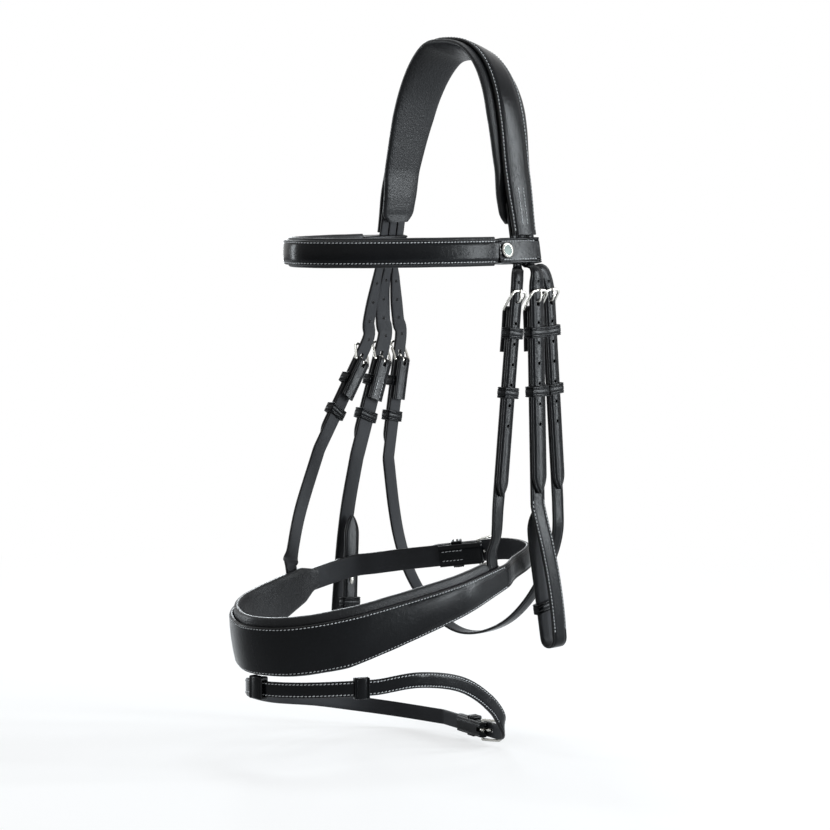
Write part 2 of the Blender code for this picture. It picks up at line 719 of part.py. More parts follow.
def make_hangers(band_path, carrier):
    """The two straps that carry the noseband, sewn in behind its leather. Returns where they are sewn."""
    ahead = BACKWARDS * HANGER_AHEAD
    near = Station(place((0.880, 0.020, 0.416)) - ahead, Vector((-0.005, -0.10, -1)), OUTWARDS)
    far = Station(place((-0.900, -0.005, 0.516)) - ahead, Vector((0, -0.56, -0.83)), -OUTWARDS)
    far_bend_shares = ((-0.840, -0.064, 0.400), (-0.882, -0.076, 0.450))
    near_lower_shares = ((0.826, -0.185, 0.780),)
    far_lower_shares = ((-0.840, -0.490, 0.756), (-0.765, -0.572, 0.824))
    near_seat_share, far_seat_share = -0.165, -0.595
    plans = ((NEAR, near, TAIL, (), NEAR_HOLES, near_lower_shares, near_seat_share, RUNNER_DOWN),
             (FAR, far, SHORT_TAIL, far_bend_shares, FAR_HOLES, far_lower_shares, far_seat_share,
              SHORT_RUNNER_DOWN))
    seats = []
    for side, station, tail, bend_shares, holes, lower_shares, seat_share, runner_down in plans:
        word = side_name(side)
        billet(word + "_hanger_billet", station, NARROW, tail, side, -side, bend_shares, holes, carrier)
        buckle_set(word + "_hanger", station, NARROW, carrier, runner_down)
        seat = band_station(band_path, side, seat_share * REACH)
        behind = -(BILLET / 2 + SEAM + STRAP / 2)
        top = -NOSE_BACK / 2
        ends = [seat.point(top - NOSE_ROLL - 2 * STRAP, behind), seat.point(top + HANGER_SEAT, behind)]
        fold = folded_end(station, tail + PAST_TIP)
        lower = smooth(fold[:1] + places(lower_shares) + ends, straight=(len(lower_shares) + 1,))
        path = list(reversed(fold)) + lower[1:]
        mesh = ribbon(path, guide(BACKWARDS, station, seat), NARROW, STRAP)
        name = word + "_hanger_strap"
        tongue_slot(piece(name, mesh, leather(name), carrier), "bar_slot", station)
        seats.append(seat)
    return seats


def make_throatlatch():
    """The strap that hangs behind the jaw, with a buckle on each side."""
    behind = BACKWARDS * THROAT_BEHIND
    near = Station(place((0.820, 0.020, 0.416)) + behind, Vector((0, 0.085, -1)), OUTWARDS)
    far = Station(place((-0.900, -0.005, 0.516)) + behind, Vector((0, -0.17, -0.985)), -OUTWARDS)
    far_bend_shares = ((-0.840, 0.066, 0.400), (-0.882, 0.102, 0.450))
    loop_shares = ((0.785, 0.205, 0.790), (0.690, 0.200, 0.846), (0.490, 0.195, 0.906), (0.250, 0.180, 0.950),
                   (-0.050, 0.160, 0.973), (-0.330, 0.150, 0.968), (-0.620, 0.145, 0.930),
                   (-0.800, 0.135, 0.885), (-0.885, 0.115, 0.830), (-0.900, 0.085, 0.770))
    turn = under_loop(NEAR)
    turn.x, turn.y = 0, SEWN + NARROW / 4
    carrier = body("throatlatch", turn)
    billet("near_throat_billet", near, NARROW, TAIL, NEAR, 1, (), NEAR_HOLES, carrier)
    billet("far_throat_billet", far, NARROW, SHORT_TAIL, FAR, -1, far_bend_shares, FAR_HOLES, carrier)
    buckle_set("near_throat", near, NARROW, carrier, RUNNER_DOWN)
    buckle_set("far_throat", far, NARROW, carrier, SHORT_RUNNER_DOWN)
    near_fold = folded_end(near, TAIL + PAST_TIP)
    far_fold = folded_end(far, SHORT_TAIL + PAST_TIP)
    hanging = smooth(near_fold[:1] + places(loop_shares) + far_fold[:1])
    path = list(reversed(near_fold)) + hanging[1:] + far_fold[1:]
    mesh = ribbon(path, guide(BACKWARDS, near, far), NARROW, STRAP)
    made = piece("throat_strap", mesh, leather("throat_strap"), carrier)
    tongue_slot(made, "near_bar_slot", near)
    tongue_slot(made, "far_bar_slot", far)


def make_flash(band_path, noseband):
    """The thin strap below the bit, through a loop under the noseband, with its own buckle and runner."""
    near_shares = ((0.860, -0.205, 1.060), (0.885, -0.400, 1.010), (0.870, -0.640, 0.989))
    runner_shares = ((0.750, -0.825, 0.994), (0.645, -0.930, 0.994))
    front_shares = ((0.400, -1.055, 0.996),)
    loop_shares = ((0.130, -1.115, 0.998), (-0.050, -1.115, 0.998))
    far_shares = ((-0.230, -1.060, 1.005), (-0.440, -0.940, 1.024), (-0.640, -0.730, 1.049),
                  (-0.740, -0.450, 1.072), (-0.700, -0.240, 1.091), (-0.450, -0.105, 1.102))
    station = Station(place((0.580, -0.100, 1.106)), Vector((-0.975, 0.22, 0)), Vector((0.22, 0.975, 0)))
    loop = places(loop_shares)
    seat = loop[0].lerp(loop[1], 0.5)
    carrier = body("flash", seat - UP * FLASH / 2)
    start = [station.point(BAND_TAIL), station.point(BAND_TAIL - FLASH), station.point(-LEAD)]
    to_runner = start + places(near_shares)
    to_loop = to_runner + places(runner_shares) + places(front_shares)
    points = to_loop + loop + places(far_shares)
    fold = folded_end(station, BAND_TAIL + PAST_TIP)
    path = smooth(points + fold[:1], straight=(0, 1, len(to_runner), len(to_loop)))
    strap_from = lengths_along(path)[-1]

    def wide(run, point):
        return FLASH * min(1, 0.3 + 0.7 * run / FLASH)

    def thick(run, point):
        near_bar = (point - station.origin).length < BAND_TAIL + STRAP and run < strap_from - STRAP
        return BILLET if near_bar else FLASH_THICK

    made = piece("flash_strap", ribbon(path + fold[1:], -UP, wide, thick), leather("flash_strap"), carrier)
    tongue_hole(made, station)
    tongue_slot(made, "bar_slot", station)
    buckle_set("flash", station, FLASH, carrier)

    ahead, behind = places(runner_shares)
    along = behind - ahead
    spot = Station(ahead.lerp(behind, 0.5), along, along.cross(-UP))
    slider = body("flash_runner_body", spot.origin)
    sleeve("flash_runner", spot, FLASH, FLASH_THICK, KEEPER_PLAY, FLASH_RUNNER, slider)

    front = Station(seat, loop[1] - loop[0], -BACKWARDS)
    nose = min(band_path, key=lambda point: point.y)
    hem = nose - BAND_NORMAL * (NOSE - NOSE_BACK / 2 + NOSE_HEM / 2)
    wall, half, deep = FLASH_LOOP_WALL, FLASH / 2, FLASH_THICK / 2 + SEAM
    inner = (-half - KEEPER_PLAY, -deep, half + SEAM, deep + FLASH_SWING_PLAY)
    outer = (seat.z - hem.z + SEAM, -deep - wall, half + SEAM + wall, deep + FLASH_SWING_PLAY + wall)
    matrix = front.matrix @ Matrix.Translation((-FLASH_LOOP / 2, 0, 0))
    piece("flash_loop", collar(inner, outer, FLASH_LOOP), leather("flash_loop"), noseband, matrix)


clear_scene()
root = body("crown", Vector())
make_crown(root)
make_browband()
make_cheeks()
pivot = under_loop(NEAR)
pivot.x, pivot.y = 0, -SEWN - NARROW / 4
noseband_body = body("noseband", pivot)
band_line = make_noseband(noseband_body)
sewn_places = make_hangers(band_line, noseband_body)
make_noseband_padding(band_line, sewn_places, noseband_body)
make_throatlatch()
make_flash(band_line, noseband_body)
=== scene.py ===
# %% [markdown]
# # A horse's show bridle
# The bridle hangs as it would from a hook: a padded poll strap, a browband, two cheekpieces, a wide
# padded noseband with a thin strap below it, and a throatlatch. The imported frame holds plain solids in
# their real places. Each of them is replaced here by a finer piece in the same place, so that every strap
# has rounded edges and creased lines, the sewn ones have thread, and every buckle is round wire.

# %% Load the frame
import math

import bmesh
import bpy
from mathutils import Matrix, Vector, noise


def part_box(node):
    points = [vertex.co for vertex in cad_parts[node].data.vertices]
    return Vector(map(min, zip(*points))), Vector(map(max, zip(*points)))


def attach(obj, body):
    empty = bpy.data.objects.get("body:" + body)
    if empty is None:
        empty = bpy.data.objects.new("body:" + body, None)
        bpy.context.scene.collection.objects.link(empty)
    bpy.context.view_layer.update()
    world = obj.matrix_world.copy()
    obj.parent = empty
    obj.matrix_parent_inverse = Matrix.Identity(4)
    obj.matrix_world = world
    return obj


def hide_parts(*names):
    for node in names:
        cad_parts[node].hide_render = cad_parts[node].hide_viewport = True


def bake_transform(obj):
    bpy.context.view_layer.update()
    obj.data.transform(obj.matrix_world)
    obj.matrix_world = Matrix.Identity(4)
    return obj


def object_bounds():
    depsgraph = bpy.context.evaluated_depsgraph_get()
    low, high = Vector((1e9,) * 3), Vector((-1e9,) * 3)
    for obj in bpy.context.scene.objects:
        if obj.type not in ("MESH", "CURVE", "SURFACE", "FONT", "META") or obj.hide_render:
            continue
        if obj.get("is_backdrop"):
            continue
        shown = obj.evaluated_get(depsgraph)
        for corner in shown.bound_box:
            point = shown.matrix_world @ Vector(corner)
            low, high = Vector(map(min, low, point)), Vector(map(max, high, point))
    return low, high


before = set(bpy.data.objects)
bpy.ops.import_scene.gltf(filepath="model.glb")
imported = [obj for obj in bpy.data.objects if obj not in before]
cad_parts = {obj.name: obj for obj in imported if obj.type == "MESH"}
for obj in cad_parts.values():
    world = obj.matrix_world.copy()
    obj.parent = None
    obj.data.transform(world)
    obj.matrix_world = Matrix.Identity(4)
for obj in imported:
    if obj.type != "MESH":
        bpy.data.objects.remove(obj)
cad_low, cad_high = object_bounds()

# %% [markdown]
# ## The camera
# The photographer stood well back, slightly above the noseband, and looked at the near front corner. A
# long lens keeps the far straps nearly as large as the near ones, so the camera stands far away here too.

# %% Camera
AIM = Vector((-0.0235, -0.0235, -0.299))
AZIMUTH, ELEVATION = math.radians(45), math.radians(5)
CAMERA_FAR, LENS, SENSOR = 2.3, 119.7, 36

towards_camera = Vector((math.sin(AZIMUTH) * math.cos(ELEVATION), -math.cos(AZIMUTH) * math.cos(ELEVATION),
                         math.sin(ELEVATION)))
camera = bpy.data.objects.new("camera", bpy.data.cameras.new("camera"))
bpy.context.scene.collection.objects.link(camera)
camera.data.lens, camera.data.sensor_width = LENS, SENSOR
camera.location = AIM + towards_camera * CAMERA_FAR
camera.rotation_mode = "QUATERNION"
camera.rotation_quaternion = (-towards_camera).to_track_quat("-Z", "Y")
bpy.context.scene.camera = camera
bpy.context.scene.view_settings.view_transform = "Standard"
print("camera at", [round(x, 3) for x in camera.location])

# %% [markdown]
# ## Nodes written as sums
# A finish is a small sum: so much grain, so much cloudiness. Wiring Math nodes by hand hides that sum, so
# one class wraps a socket and lets Python's own + - * build the nodes. Any other node comes from a single
# method.


# %% Shader helpers
class Value:
    """A number that varies over a surface, held as a node's output socket."""

    def __init__(self, finish, socket):
        self.finish, self.socket = finish, socket

    def _join(self, operation, first, second):
        return self.finish.node("ShaderNodeMath", {"operation": operation}, {0: first, 1: second})

    def __add__(self, other):
        return self._join("ADD", self, other)

    def __radd__(self, other):
        return self._join("ADD", other, self)

    def __sub__(self, other):
        return self._join("SUBTRACT", self, other)

    def __rsub__(self, other):
        return self._join("SUBTRACT", other, self)

    def __mul__(self, other):
        return self._join("MULTIPLY", self, other)

    def __rmul__(self, other):
        return self._join("MULTIPLY", other, self)


class Finish:
    """A material and the nodes that make it."""

    def __init__(self, name):
        self.material = bpy.data.materials.new(name)
        self.material.use_nodes = True
        self.tree = self.material.node_tree
        self.shader = self.tree.nodes["Principled BSDF"]
        self.output = self.tree.nodes["Material Output"]

    def node(self, kind, settings, sockets, out=0):
        """Adds a node: its settings first, then the values or links of its sockets."""
        made = self.tree.nodes.new(kind)
        for name, value in settings.items():
            if name == "stops":
                for stop, (at, colour) in zip(made.color_ramp.elements, value):
                    stop.position, stop.color = at, colour
            else:
                setattr(made, name, value)
        for name, value in sockets.items():
            if isinstance(value, Value):
                self.tree.links.new(value.socket, made.inputs[name])
            else:
                made.inputs[name].default_value = value
        return Value(self, made.outputs[out])

    def blend(self, amount, first, second):
        """Mixes two colours by an amount that varies."""
        return self.node("ShaderNodeMix", {"data_type": "RGBA"}, {0: amount, 6: first, 7: second}, out=2)

    def feed(self, **sockets):
        """Sets or links the main shader's sockets; an underscore stands for a space."""
        for name, value in sockets.items():
            socket = self.shader.inputs[name.replace("_", " ")]
            if isinstance(value, Value):
                self.tree.links.new(value.socket, socket)
            else:
                socket.default_value = value
        return self


print("helpers ready")

# %% [markdown]
# ## Light, floor and background
# Black leather has almost no colour of its own: what the eye reads is the shape of the lamps in its
# polish. So the lamps are tall strips, as in a studio, and the strongest stands on the right, where the
# near cheekpieces and the crown turn their long highlights. The background is white to the camera without
# putting more light on the leather.

# %% Lamps, world and floor
COOL = (0.90, 0.96, 1.0)
# Each lamp: name, direction from the bridle, distance, width, height, radiance.
SOFT_BOXES = (
    ("back_right_strip", (0.70, 0.70, 0.12), 1.7, 0.16, 1.3, 36.0),
    ("right_strip", (0.90, 0.43, 0.04), 1.7, 0.14, 1.2, 48.0),
    ("left_strip", (-0.88, -0.46, 0.08), 1.9, 0.22, 1.2, 26.0),
    ("overhead", (-0.05, 0.15, 1.00), 1.5, 1.2, 0.8, 4.0),
    ("back_strip", (-0.80, 0.60, 0.30), 2.0, 0.30, 1.4, 9.0),
)
AMBIENT = 0.30
FLOOR_DROP, FLOOR_WIDE = 0.004, 14.0
GLOW_NEAR, GLOW_FAR, GLOW_LEAST = 0.55, 1.3, 0.55
WHITE, PAPER = (1, 1, 1, 1), (0.93, 0.93, 0.93, 1)

for name, direction, far, wide, high, radiance in SOFT_BOXES:
    lamp = bpy.data.lights.new(name, "AREA")
    lamp.shape, lamp.size, lamp.size_y = "RECTANGLE", wide, high
    lamp.energy, lamp.color = radiance * math.pi * wide * high, COOL
    holder = bpy.data.objects.new(name, lamp)
    bpy.context.scene.collection.objects.link(holder)
    aim = Vector(direction).normalized()
    holder.location = AIM + aim * far
    holder.rotation_mode = "QUATERNION"
    holder.rotation_quaternion = (-aim).to_track_quat("-Z", "Y")
    holder.visible_camera = False

world = bpy.data.worlds.new("studio")
bpy.context.scene.world = world
world.use_nodes = True
sky = world.node_tree.nodes["Background"]
sky.inputs["Color"].default_value = WHITE
path_of_light = world.node_tree.nodes.new("ShaderNodeLightPath")
steps = []
for ray in ("Is Camera Ray", "Is Glossy Ray", "Is Transmission Ray"):
    scaled = world.node_tree.nodes.new("ShaderNodeMath")
    scaled.operation = "MULTIPLY_ADD"
    world.node_tree.links.new(path_of_light.outputs[ray], scaled.inputs[0])
    scaled.inputs[1].default_value = 1 - AMBIENT
    if steps:
        world.node_tree.links.new(steps[-1].outputs[0], scaled.inputs[2])
    else:
        scaled.inputs[2].default_value = AMBIENT
    steps.append(scaled)
world.node_tree.links.new(steps[-1].outputs[0], sky.inputs["Strength"])

floor_mesh = bpy.data.meshes.new("floor")
half = FLOOR_WIDE / 2
level = cad_low.z - FLOOR_DROP
corners = [(x, y, level) for x, y in ((-half, -half), (half, -half), (half, half), (-half, half))]
floor_mesh.from_pydata(corners, [], [(0, 1, 2, 3)])
floor = bpy.data.objects.new("floor", floor_mesh)
bpy.context.scene.collection.objects.link(floor)
floor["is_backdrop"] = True
paper = Finish("paper")
paper.feed(Base_Color=PAPER, Roughness=0.9, Specular_IOR_Level=0.1)
spot = paper.node("ShaderNodeTexCoord", {}, {}, out=3)
away = paper.node("ShaderNodeVectorMath", {"operation": "LENGTH"}, {0: spot}, out=1)
edge = paper.node("ShaderNodeMapRange", {"interpolation_type": "SMOOTHSTEP"},
                  {0: away, 1: GLOW_NEAR, 2: GLOW_FAR, 3: GLOW_LEAST, 4: 1})
seen = paper.node("ShaderNodeLightPath", {}, {}, out=0)
glow = paper.node("ShaderNodeEmission", {}, {"Color": WHITE, "Strength": 1.0})
mixed = paper.node("ShaderNodeMixShader", {}, {0: edge * seen})
paper.tree.links.new(paper.shader.outputs[0], mixed.socket.node.inputs[1])
paper.tree.links.new(glow.socket, mixed.socket.node.inputs[2])
paper.tree.links.new(mixed.socket, paper.output.inputs["Surface"])
floor_mesh.materials.append(paper.material)
print("lamps:", len(SOFT_BOXES), "floor at", round(level, 4))

# %% [markdown]
# ## Leather, thread and metal
# Bridle leather is dyed through and waxed. Its grain side is nearly smooth, with fine pores and faint
# clouds where the wax lies thicker. Its cut edges are painted, and its flesh side is a matte grey-black
# nap. The linings are a softer, thinner leather with a pebbled grain. All of them are black, so they
# differ by polish and by bump only.


# %% Finishes
CLOUDS, PULLS, RIDGE_LOW, RIDGE_HIGH, BUMP = 40.0, 150.0, 0.46, 0.56, 0.55


def leather(name, dark, pale, shine, spread, pores, pore_bump, creases=0.0, gleam=0.15, waves=0.0):
    """A leather of two close blacks, with a wandering polish, pores, pulled creases and soft waves."""
    made = Finish(name)
    spot = made.node("ShaderNodeTexCoord", {}, {}, out=3)
    clouds = made.node("ShaderNodeTexNoise", {}, {"Vector": spot, "Scale": CLOUDS, "Detail": 3.0})
    fine = made.node("ShaderNodeTexNoise", {}, {"Vector": spot, "Scale": pores * 0.45, "Detail": 3.0})
    grain = made.node("ShaderNodeTexVoronoi", {"feature": "SMOOTH_F1"}, {"Vector": spot, "Scale": pores})
    pulled = made.node("ShaderNodeTexNoise", {},
                       {"Vector": spot, "Scale": PULLS, "Detail": 6.0, "Distortion": 1.6})
    ridge = made.node("ShaderNodeMapRange", {}, {0: pulled, 1: RIDGE_LOW, 2: RIDGE_HIGH, 3: 0.0, 4: 1.0})
    colour = made.blend(clouds * 0.7 + fine * 0.3, dark, pale)
    polish = shine + (clouds - 0.5) * spread + (fine - 0.5) * spread * 0.5
    height = grain * 0.6 + fine * 0.5 + ridge * creases + clouds * waves
    bump = made.node("ShaderNodeBump", {}, {"Strength": BUMP, "Distance": pore_bump, "Height": height})
    made.feed(Base_Color=colour, Roughness=polish, Normal=bump, Specular_IOR_Level=gleam)
    return made.material


GRAIN_SIDE = leather("bridle_leather", (0.0020, 0.0023, 0.0028, 1), (0.0060, 0.0066, 0.0078, 1), shine=0.23,
                     spread=0.12, pores=950.0, pore_bump=0.00005, creases=0.9, gleam=0.10, waves=10.0)
EDGE_PAINT = leather("edge_paint", (0.003, 0.003, 0.0033, 1), (0.006, 0.006, 0.007, 1), shine=0.36,
                     spread=0.10, pores=1500.0, pore_bump=0.00008)
FLESH_SIDE = leather("flesh_side", (0.010, 0.0105, 0.012, 1), (0.022, 0.023, 0.026, 1), shine=0.60,
                     spread=0.16, pores=1300.0, pore_bump=0.00020)
LINING = leather("lining_leather", (0.0030, 0.0033, 0.0038, 1), (0.0105, 0.0112, 0.0128, 1), shine=0.38,
                 spread=0.14, pores=760.0, pore_bump=0.00060, gleam=0.17)

thread = Finish("waxed_thread")
spot = thread.node("ShaderNodeTexCoord", {}, {}, out=3)
twist = thread.node("ShaderNodeTexNoise", {}, {"Vector": spot, "Scale": 2600.0, "Detail": 2.0})
thread.feed(Base_Color=thread.blend(twist, (0.26, 0.27, 0.28, 1), (0.50, 0.51, 0.52, 1)),
            Roughness=0.38 + twist * 0.2,
            Normal=thread.node("ShaderNodeBump", {}, {"Strength": 0.5, "Distance": 0.0001, "Height": twist}))
THREAD = thread.material

metal = Finish("polished_nickel")
spot = metal.node("ShaderNodeTexCoord", {}, {}, out=3)
rub = metal.node("ShaderNodeTexNoise", {}, {"Vector": spot, "Scale": 420.0, "Detail": 6.0, "Roughness": 0.7})
haze = metal.node("ShaderNodeTexNoise", {}, {"Vector": spot, "Scale": 90.0, "Detail": 3.0})
metal.feed(Base_Color=metal.blend(haze, (0.36, 0.35, 0.32, 1), (0.58, 0.565, 0.53, 1)), Metallic=1.0,
           Roughness=0.17 + rub * 0.14,
           Normal=metal.node("ShaderNodeBump", {}, {"Strength": 0.2, "Distance": 0.00004, "Height": rub}))
NICKEL = metal.material

satin = Finish("satin_nickel")
spot = satin.node("ShaderNodeTexCoord", {}, {}, out=3)
brushed = satin.node("ShaderNodeTexNoise", {}, {"Vector": spot, "Scale": 700.0, "Detail": 5.0})
satin.feed(Metallic=1.0, Roughness=0.45 + brushed * 0.15,
           Base_Color=satin.blend(brushed, (0.07, 0.083, 0.078, 1), (0.13, 0.15, 0.14, 1)))
SATIN_NICKEL = satin.material
finishes = (GRAIN_SIDE, EDGE_PAINT, FLESH_SIDE, LINING, THREAD, NICKEL, SATIN_NICKEL)
print("finishes:", [finish.name for finish in finishes])

# %% [markdown]
# ## Where things are
# The straps run through the same places as the solids they replace. Those places are shares of three
# sizes: how far the cheekpieces hang apart, how far the noseband reaches, and how far the bit loops hang
# below the poll. A station is a spot on a strap with its own directions: down the strap, across it and
# out of it.

# %% Places and stations
SPREAD, REACH, DROP = 0.100, 0.200, 0.500
SEAM, BILLET, STRAP = 0.0003, 0.0030, 0.0022
CHEEK, NARROW, SEWN, SEWN_GAP, SEWN_LONG = 0.016, 0.013, 0.0088, 0.0006, 0.028
WIRE, FRAME, SIDE_PLAY, TONGUE, TONGUE_WIDTH, SLOT_PLAY = 0.0010, 0.0155, 0.0008, 0.0012, 0.0022, 0.0006
CHAPE, HOLE, HOLE_PITCH = 0.034, 0.0014, 0.0165
KEEPER, KEEPER_WALL, KEEPER_PLAY, KEEPER_DOWN = 0.009, 0.0016, 0.0006, 0.014
TAIL, SHORT_TAIL, BAND_TAIL, LEAD, PAST_TIP = 0.150, 0.075, 0.052, 0.018, 0.010
RUNNER_DOWN, SHORT_RUNNER_DOWN = 0.062, 0.044
LOOP_HIGH = 0.0215
END_OUT, END_DOWN, END_LEAN = 0.755, 0.300, math.radians(10)
NEAR, FAR = 1, -1
UP, BACKWARDS, OUTWARDS = Vector((0, 0, 1)), Vector((0, 1, 0)), Vector((1, 0, 0))

UNDER = -(BILLET / 2 + SEAM + STRAP / 2)
FOLD = WIRE + SEAM + STRAP / 2
BAR = UNDER - FOLD
BEHIND = UNDER - STRAP - KEEPER_WALL - 2 * SEAM
TOP = BILLET / 2 + 2 * SEAM + WIRE
STACK_LOW, STACK_HIGH = UNDER - STRAP / 2 - SEAM, BILLET / 2 + SEAM


def place(share):
    return Vector((share[0] * SPREAD, share[1] * REACH, -share[2] * DROP))


class Station:
    """A spot on a strap: x runs down the strap, y across it and z out of it."""

    def __init__(self, origin, down, out):
        self.down = down.normalized()
        self.out = (out - self.down * out.dot(self.down)).normalized()
        self.across = self.out.cross(self.down)
        self.origin = origin
        turned = Matrix((self.down, self.across, self.out)).transposed().to_4x4()
        self.matrix = Matrix.Translation(origin) @ turned

    def point(self, down, out=0, across=0):
        return self.origin + self.down * down + self.out * out + self.across * across


def side_name(side):
    return "near" if side == NEAR else "far"


def crown_end(side):
    """The middle of the three strap ends, where they meet the browband's loop."""
    down = Vector((side * math.sin(END_LEAN), 0, -math.cos(END_LEAN)))
    return Station(place((END_OUT * side, 0, END_DOWN)), down, OUTWARDS * side)


print("near crown end at", [round(x, 4) for x in crown_end(NEAR).origin])

# %% [markdown]
# ## Drawing a strap
# A strap is a short outline carried along a path. The outline does most of the work: a slightly crowned
# face, a creased line along each edge, rounded and painted edges, and a flat flesh side, each with its
# own finish. Curves pass through a few chosen points and are then cut into even steps, so that highlights
# run without kinks.

# %% Paths and outlines
STEP = 0.0025
ROUND, CREASE, CREASE_DEEP, CREASE_WIDE = 0.0008, 0.0017, 0.00028, 0.00045
FACE, EDGE, FLESH = 0, 1, 2
PAD_CORNERS, SWELL = 28, 0.6


def curve(points, straight=(), steps=10):
    """A Catmull-Rom curve through the points; the numbered stretches stay straight."""
    path = [points[0].copy()]
    for i in range(len(points) - 1):
        p1, p2 = points[i], points[i + 1]
        p0 = points[i - 1] if i else p1 * 2 - p2
        p3 = points[i + 2] if i + 2 < len(points) else p2 * 2 - p1
        for k in range(1, steps + 1):
            t = k / steps
            if i in straight:
                path.append(p1.lerp(p2, t))
            else:
                path.append(0.5 * (2 * p1 + (p2 - p0) * t + (2 * p0 - 5 * p1 + 4 * p2 - p3) * t * t
                                   + (3 * p1 - p0 - 3 * p2 + p3) * t * t * t))
    return path


def lengths(path):
    run = [0.0]
    for a, b in zip(path, path[1:]):
        run.append(run[-1] + (b - a).length)
    return run


def even(path, step=STEP, soften=2):
    """The same path in even steps, with its corners eased a little."""
    run = lengths(path)
    count = max(2, round(run[-1] / step))
    spaced, i = [], 0
    for k in range(count + 1):
        want = run[-1] * k / count
        while i < len(run) - 2 and run[i + 1] < want:
            i += 1
        gap = run[i + 1] - run[i]
        spaced.append(path[i].lerp(path[i + 1], (want - run[i]) / gap if gap else 0))
    for _ in range(soften):
        eased = [a.lerp(c, 0.5).lerp(b, 0.5) for a, b, c in zip(spaced, spaced[1:], spaced[2:])]
        spaced = [spaced[0]] + eased + [spaced[-1]]
    return spaced


def line_between(a, b, count):
    """A straight path in equal steps."""
    return [a.lerp(b, k / count) for k in range(count + 1)]


def tangents(path):
    last = len(path) - 1
    return [(path[min(last, i + 1)] - path[max(0, i - 1)]).normalized() for i in range(last + 1)]


def smooth(t):
    """Eases a share between nought and one at both ends."""
    return t * t * (3 - 2 * t)


def value(rule, run, point):
    return rule(run, point) if callable(rule) else rule


def strap_outline(width, thick, crown=0.0001, creased=True):
    """A strap's section as (sideways, outwards, finish) corners, from the middle of its face round."""
    a, h = width / 2, thick / 2
    r = min(ROUND, 0.75 * h, 0.4 * a)
    inset = max(0.3 * a, a - CREASE)
    groove = min(CREASE_WIDE, 0.3 * inset)
    deep = CREASE_DEEP if creased else 0
    right = [(0, h + crown, FACE), (0.55 * inset, h + crown * 0.8, FACE),
             (inset - groove, h + crown * 0.3, FACE), (inset, h - deep, FACE),
             (min(inset + groove, 0.5 * (inset + a - r)), h, FACE), (a - r, h - 0.08 * r, EDGE),
             (a - 0.3 * r, h - 0.4 * r, EDGE), (a, h - r, EDGE), (a, -h + r, EDGE),
             (a - 0.3 * r, -h + 0.35 * r, EDGE), (a - r, -h, FLESH), (0.4 * a, -h, FLESH)]
    left = []
    for k in range(len(right) - 1, 0, -1):
        left.append((-right[k][0], right[k][1], right[k - 1][2]))
    return right + left


def pad_outline(width, thick, roll=0.55):
    """A padded section: a full roll along each edge and a gentler swell between them."""
    a, h = width / 2, thick / 2
    corners = []
    for k in range(PAD_CORNERS):
        turn = 2 * math.pi * (k + 0.5) / PAD_CORNERS
        x, y = math.cos(turn), math.sin(turn)
        corners.append((a * math.copysign(abs(x) ** roll, x), h * math.copysign(abs(y) ** SWELL, y), 0))
    return corners


def join_rings(mesh, a, b, *kinds):
    """Faces between two rings of corners, with one finish for all of them or one for each."""
    for k in range(len(a)):
        after = (k + 1) % len(a)
        mesh.faces.new((a[k], a[after], b[after], b[k])).material_index = kinds[k % len(kinds)]


def sweep(path, across, outline, lift=0, shift=0):
    """Carries an outline along a path; rules get the length run so far and the point."""
    mesh = bmesh.new()
    rings = []
    for point, along, run in zip(path, tangents(path), lengths(path)):
        wide = value(across, run, point)
        wide = (wide - along * wide.dot(along)).normalized()
        out = along.cross(wide)
        centre = point + out * value(lift, run, point) + wide * value(shift, run, point)
        corners = outline(run, point)
        rings.append([mesh.verts.new(centre + wide * x + out * y) for x, y, _ in corners])
    kinds = [kind for _, _, kind in corners]
    for a, b in zip(rings, rings[1:]):
        join_rings(mesh, a, b, *kinds)
    for ring in (rings[0], rings[-1]):
        mesh.faces.new(ring).material_index = min(EDGE, max(kinds))
    return mesh


print("a strap's outline has", len(strap_outline(CHEEK, STRAP)), "corners")

# %% [markdown]
# ## From a mesh to a piece
# A piece rides on the body of the frame that carries it and stands for its plain solid. The strap ends
# are special: they are sewn into the crown but buckled to a part that swings, so they are left in place
# on no body.

# %% Making a piece
LEATHERS = (GRAIN_SIDE, EDGE_PAINT, FLESH_SIDE)
SHARP = math.radians(50)
made_pieces = []


def dress(name, mesh_data, finishes, body, nodes=(), bend=None, cutters=()):
    """Turns a bmesh into a finished piece on a body; a piece given a bend, (body, start, end) where it
    crosses a joint, is left in place on no body.
    """
    mesh = bpy.data.meshes.new(name)
    bmesh.ops.recalc_face_normals(mesh_data, faces=mesh_data.faces)
    mesh_data.to_mesh(mesh)
    mesh_data.free()
    for finish in finishes:
        mesh.materials.append(finish)
    made = bpy.data.objects.new(name, mesh)
    bpy.context.scene.collection.objects.link(made)
    for cutter in cutters:
        punch(made, cutter)
    made.data.shade_smooth()
    made.data.set_sharp_from_angle(angle=SHARP)
    if bend:
        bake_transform(made)
    else:
        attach(made, body)
    if nodes:
        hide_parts(*nodes)
    made_pieces.append(made)
    return made


def punch(target, cutter):
    """Cuts slots and holes out of a piece and keeps the result as its mesh."""
    mesh = bpy.data.meshes.new("cutter")
    bmesh.ops.recalc_face_normals(cutter, faces=cutter.faces)
    cutter.to_mesh(mesh)
    cutter.free()
    tool = bpy.data.objects.new("cutter", mesh)
    bpy.context.scene.collection.objects.link(tool)
    change = target.modifiers.new("punch", "BOOLEAN")
    change.operation, change.solver, change.object = "DIFFERENCE", "EXACT", tool
    bpy.context.view_layer.update()
    whole = bpy.data.meshes.new_from_object(target.evaluated_get(bpy.context.evaluated_depsgraph_get()))
    target.modifiers.clear()
    target.data = whole
    bpy.data.objects.remove(tool)


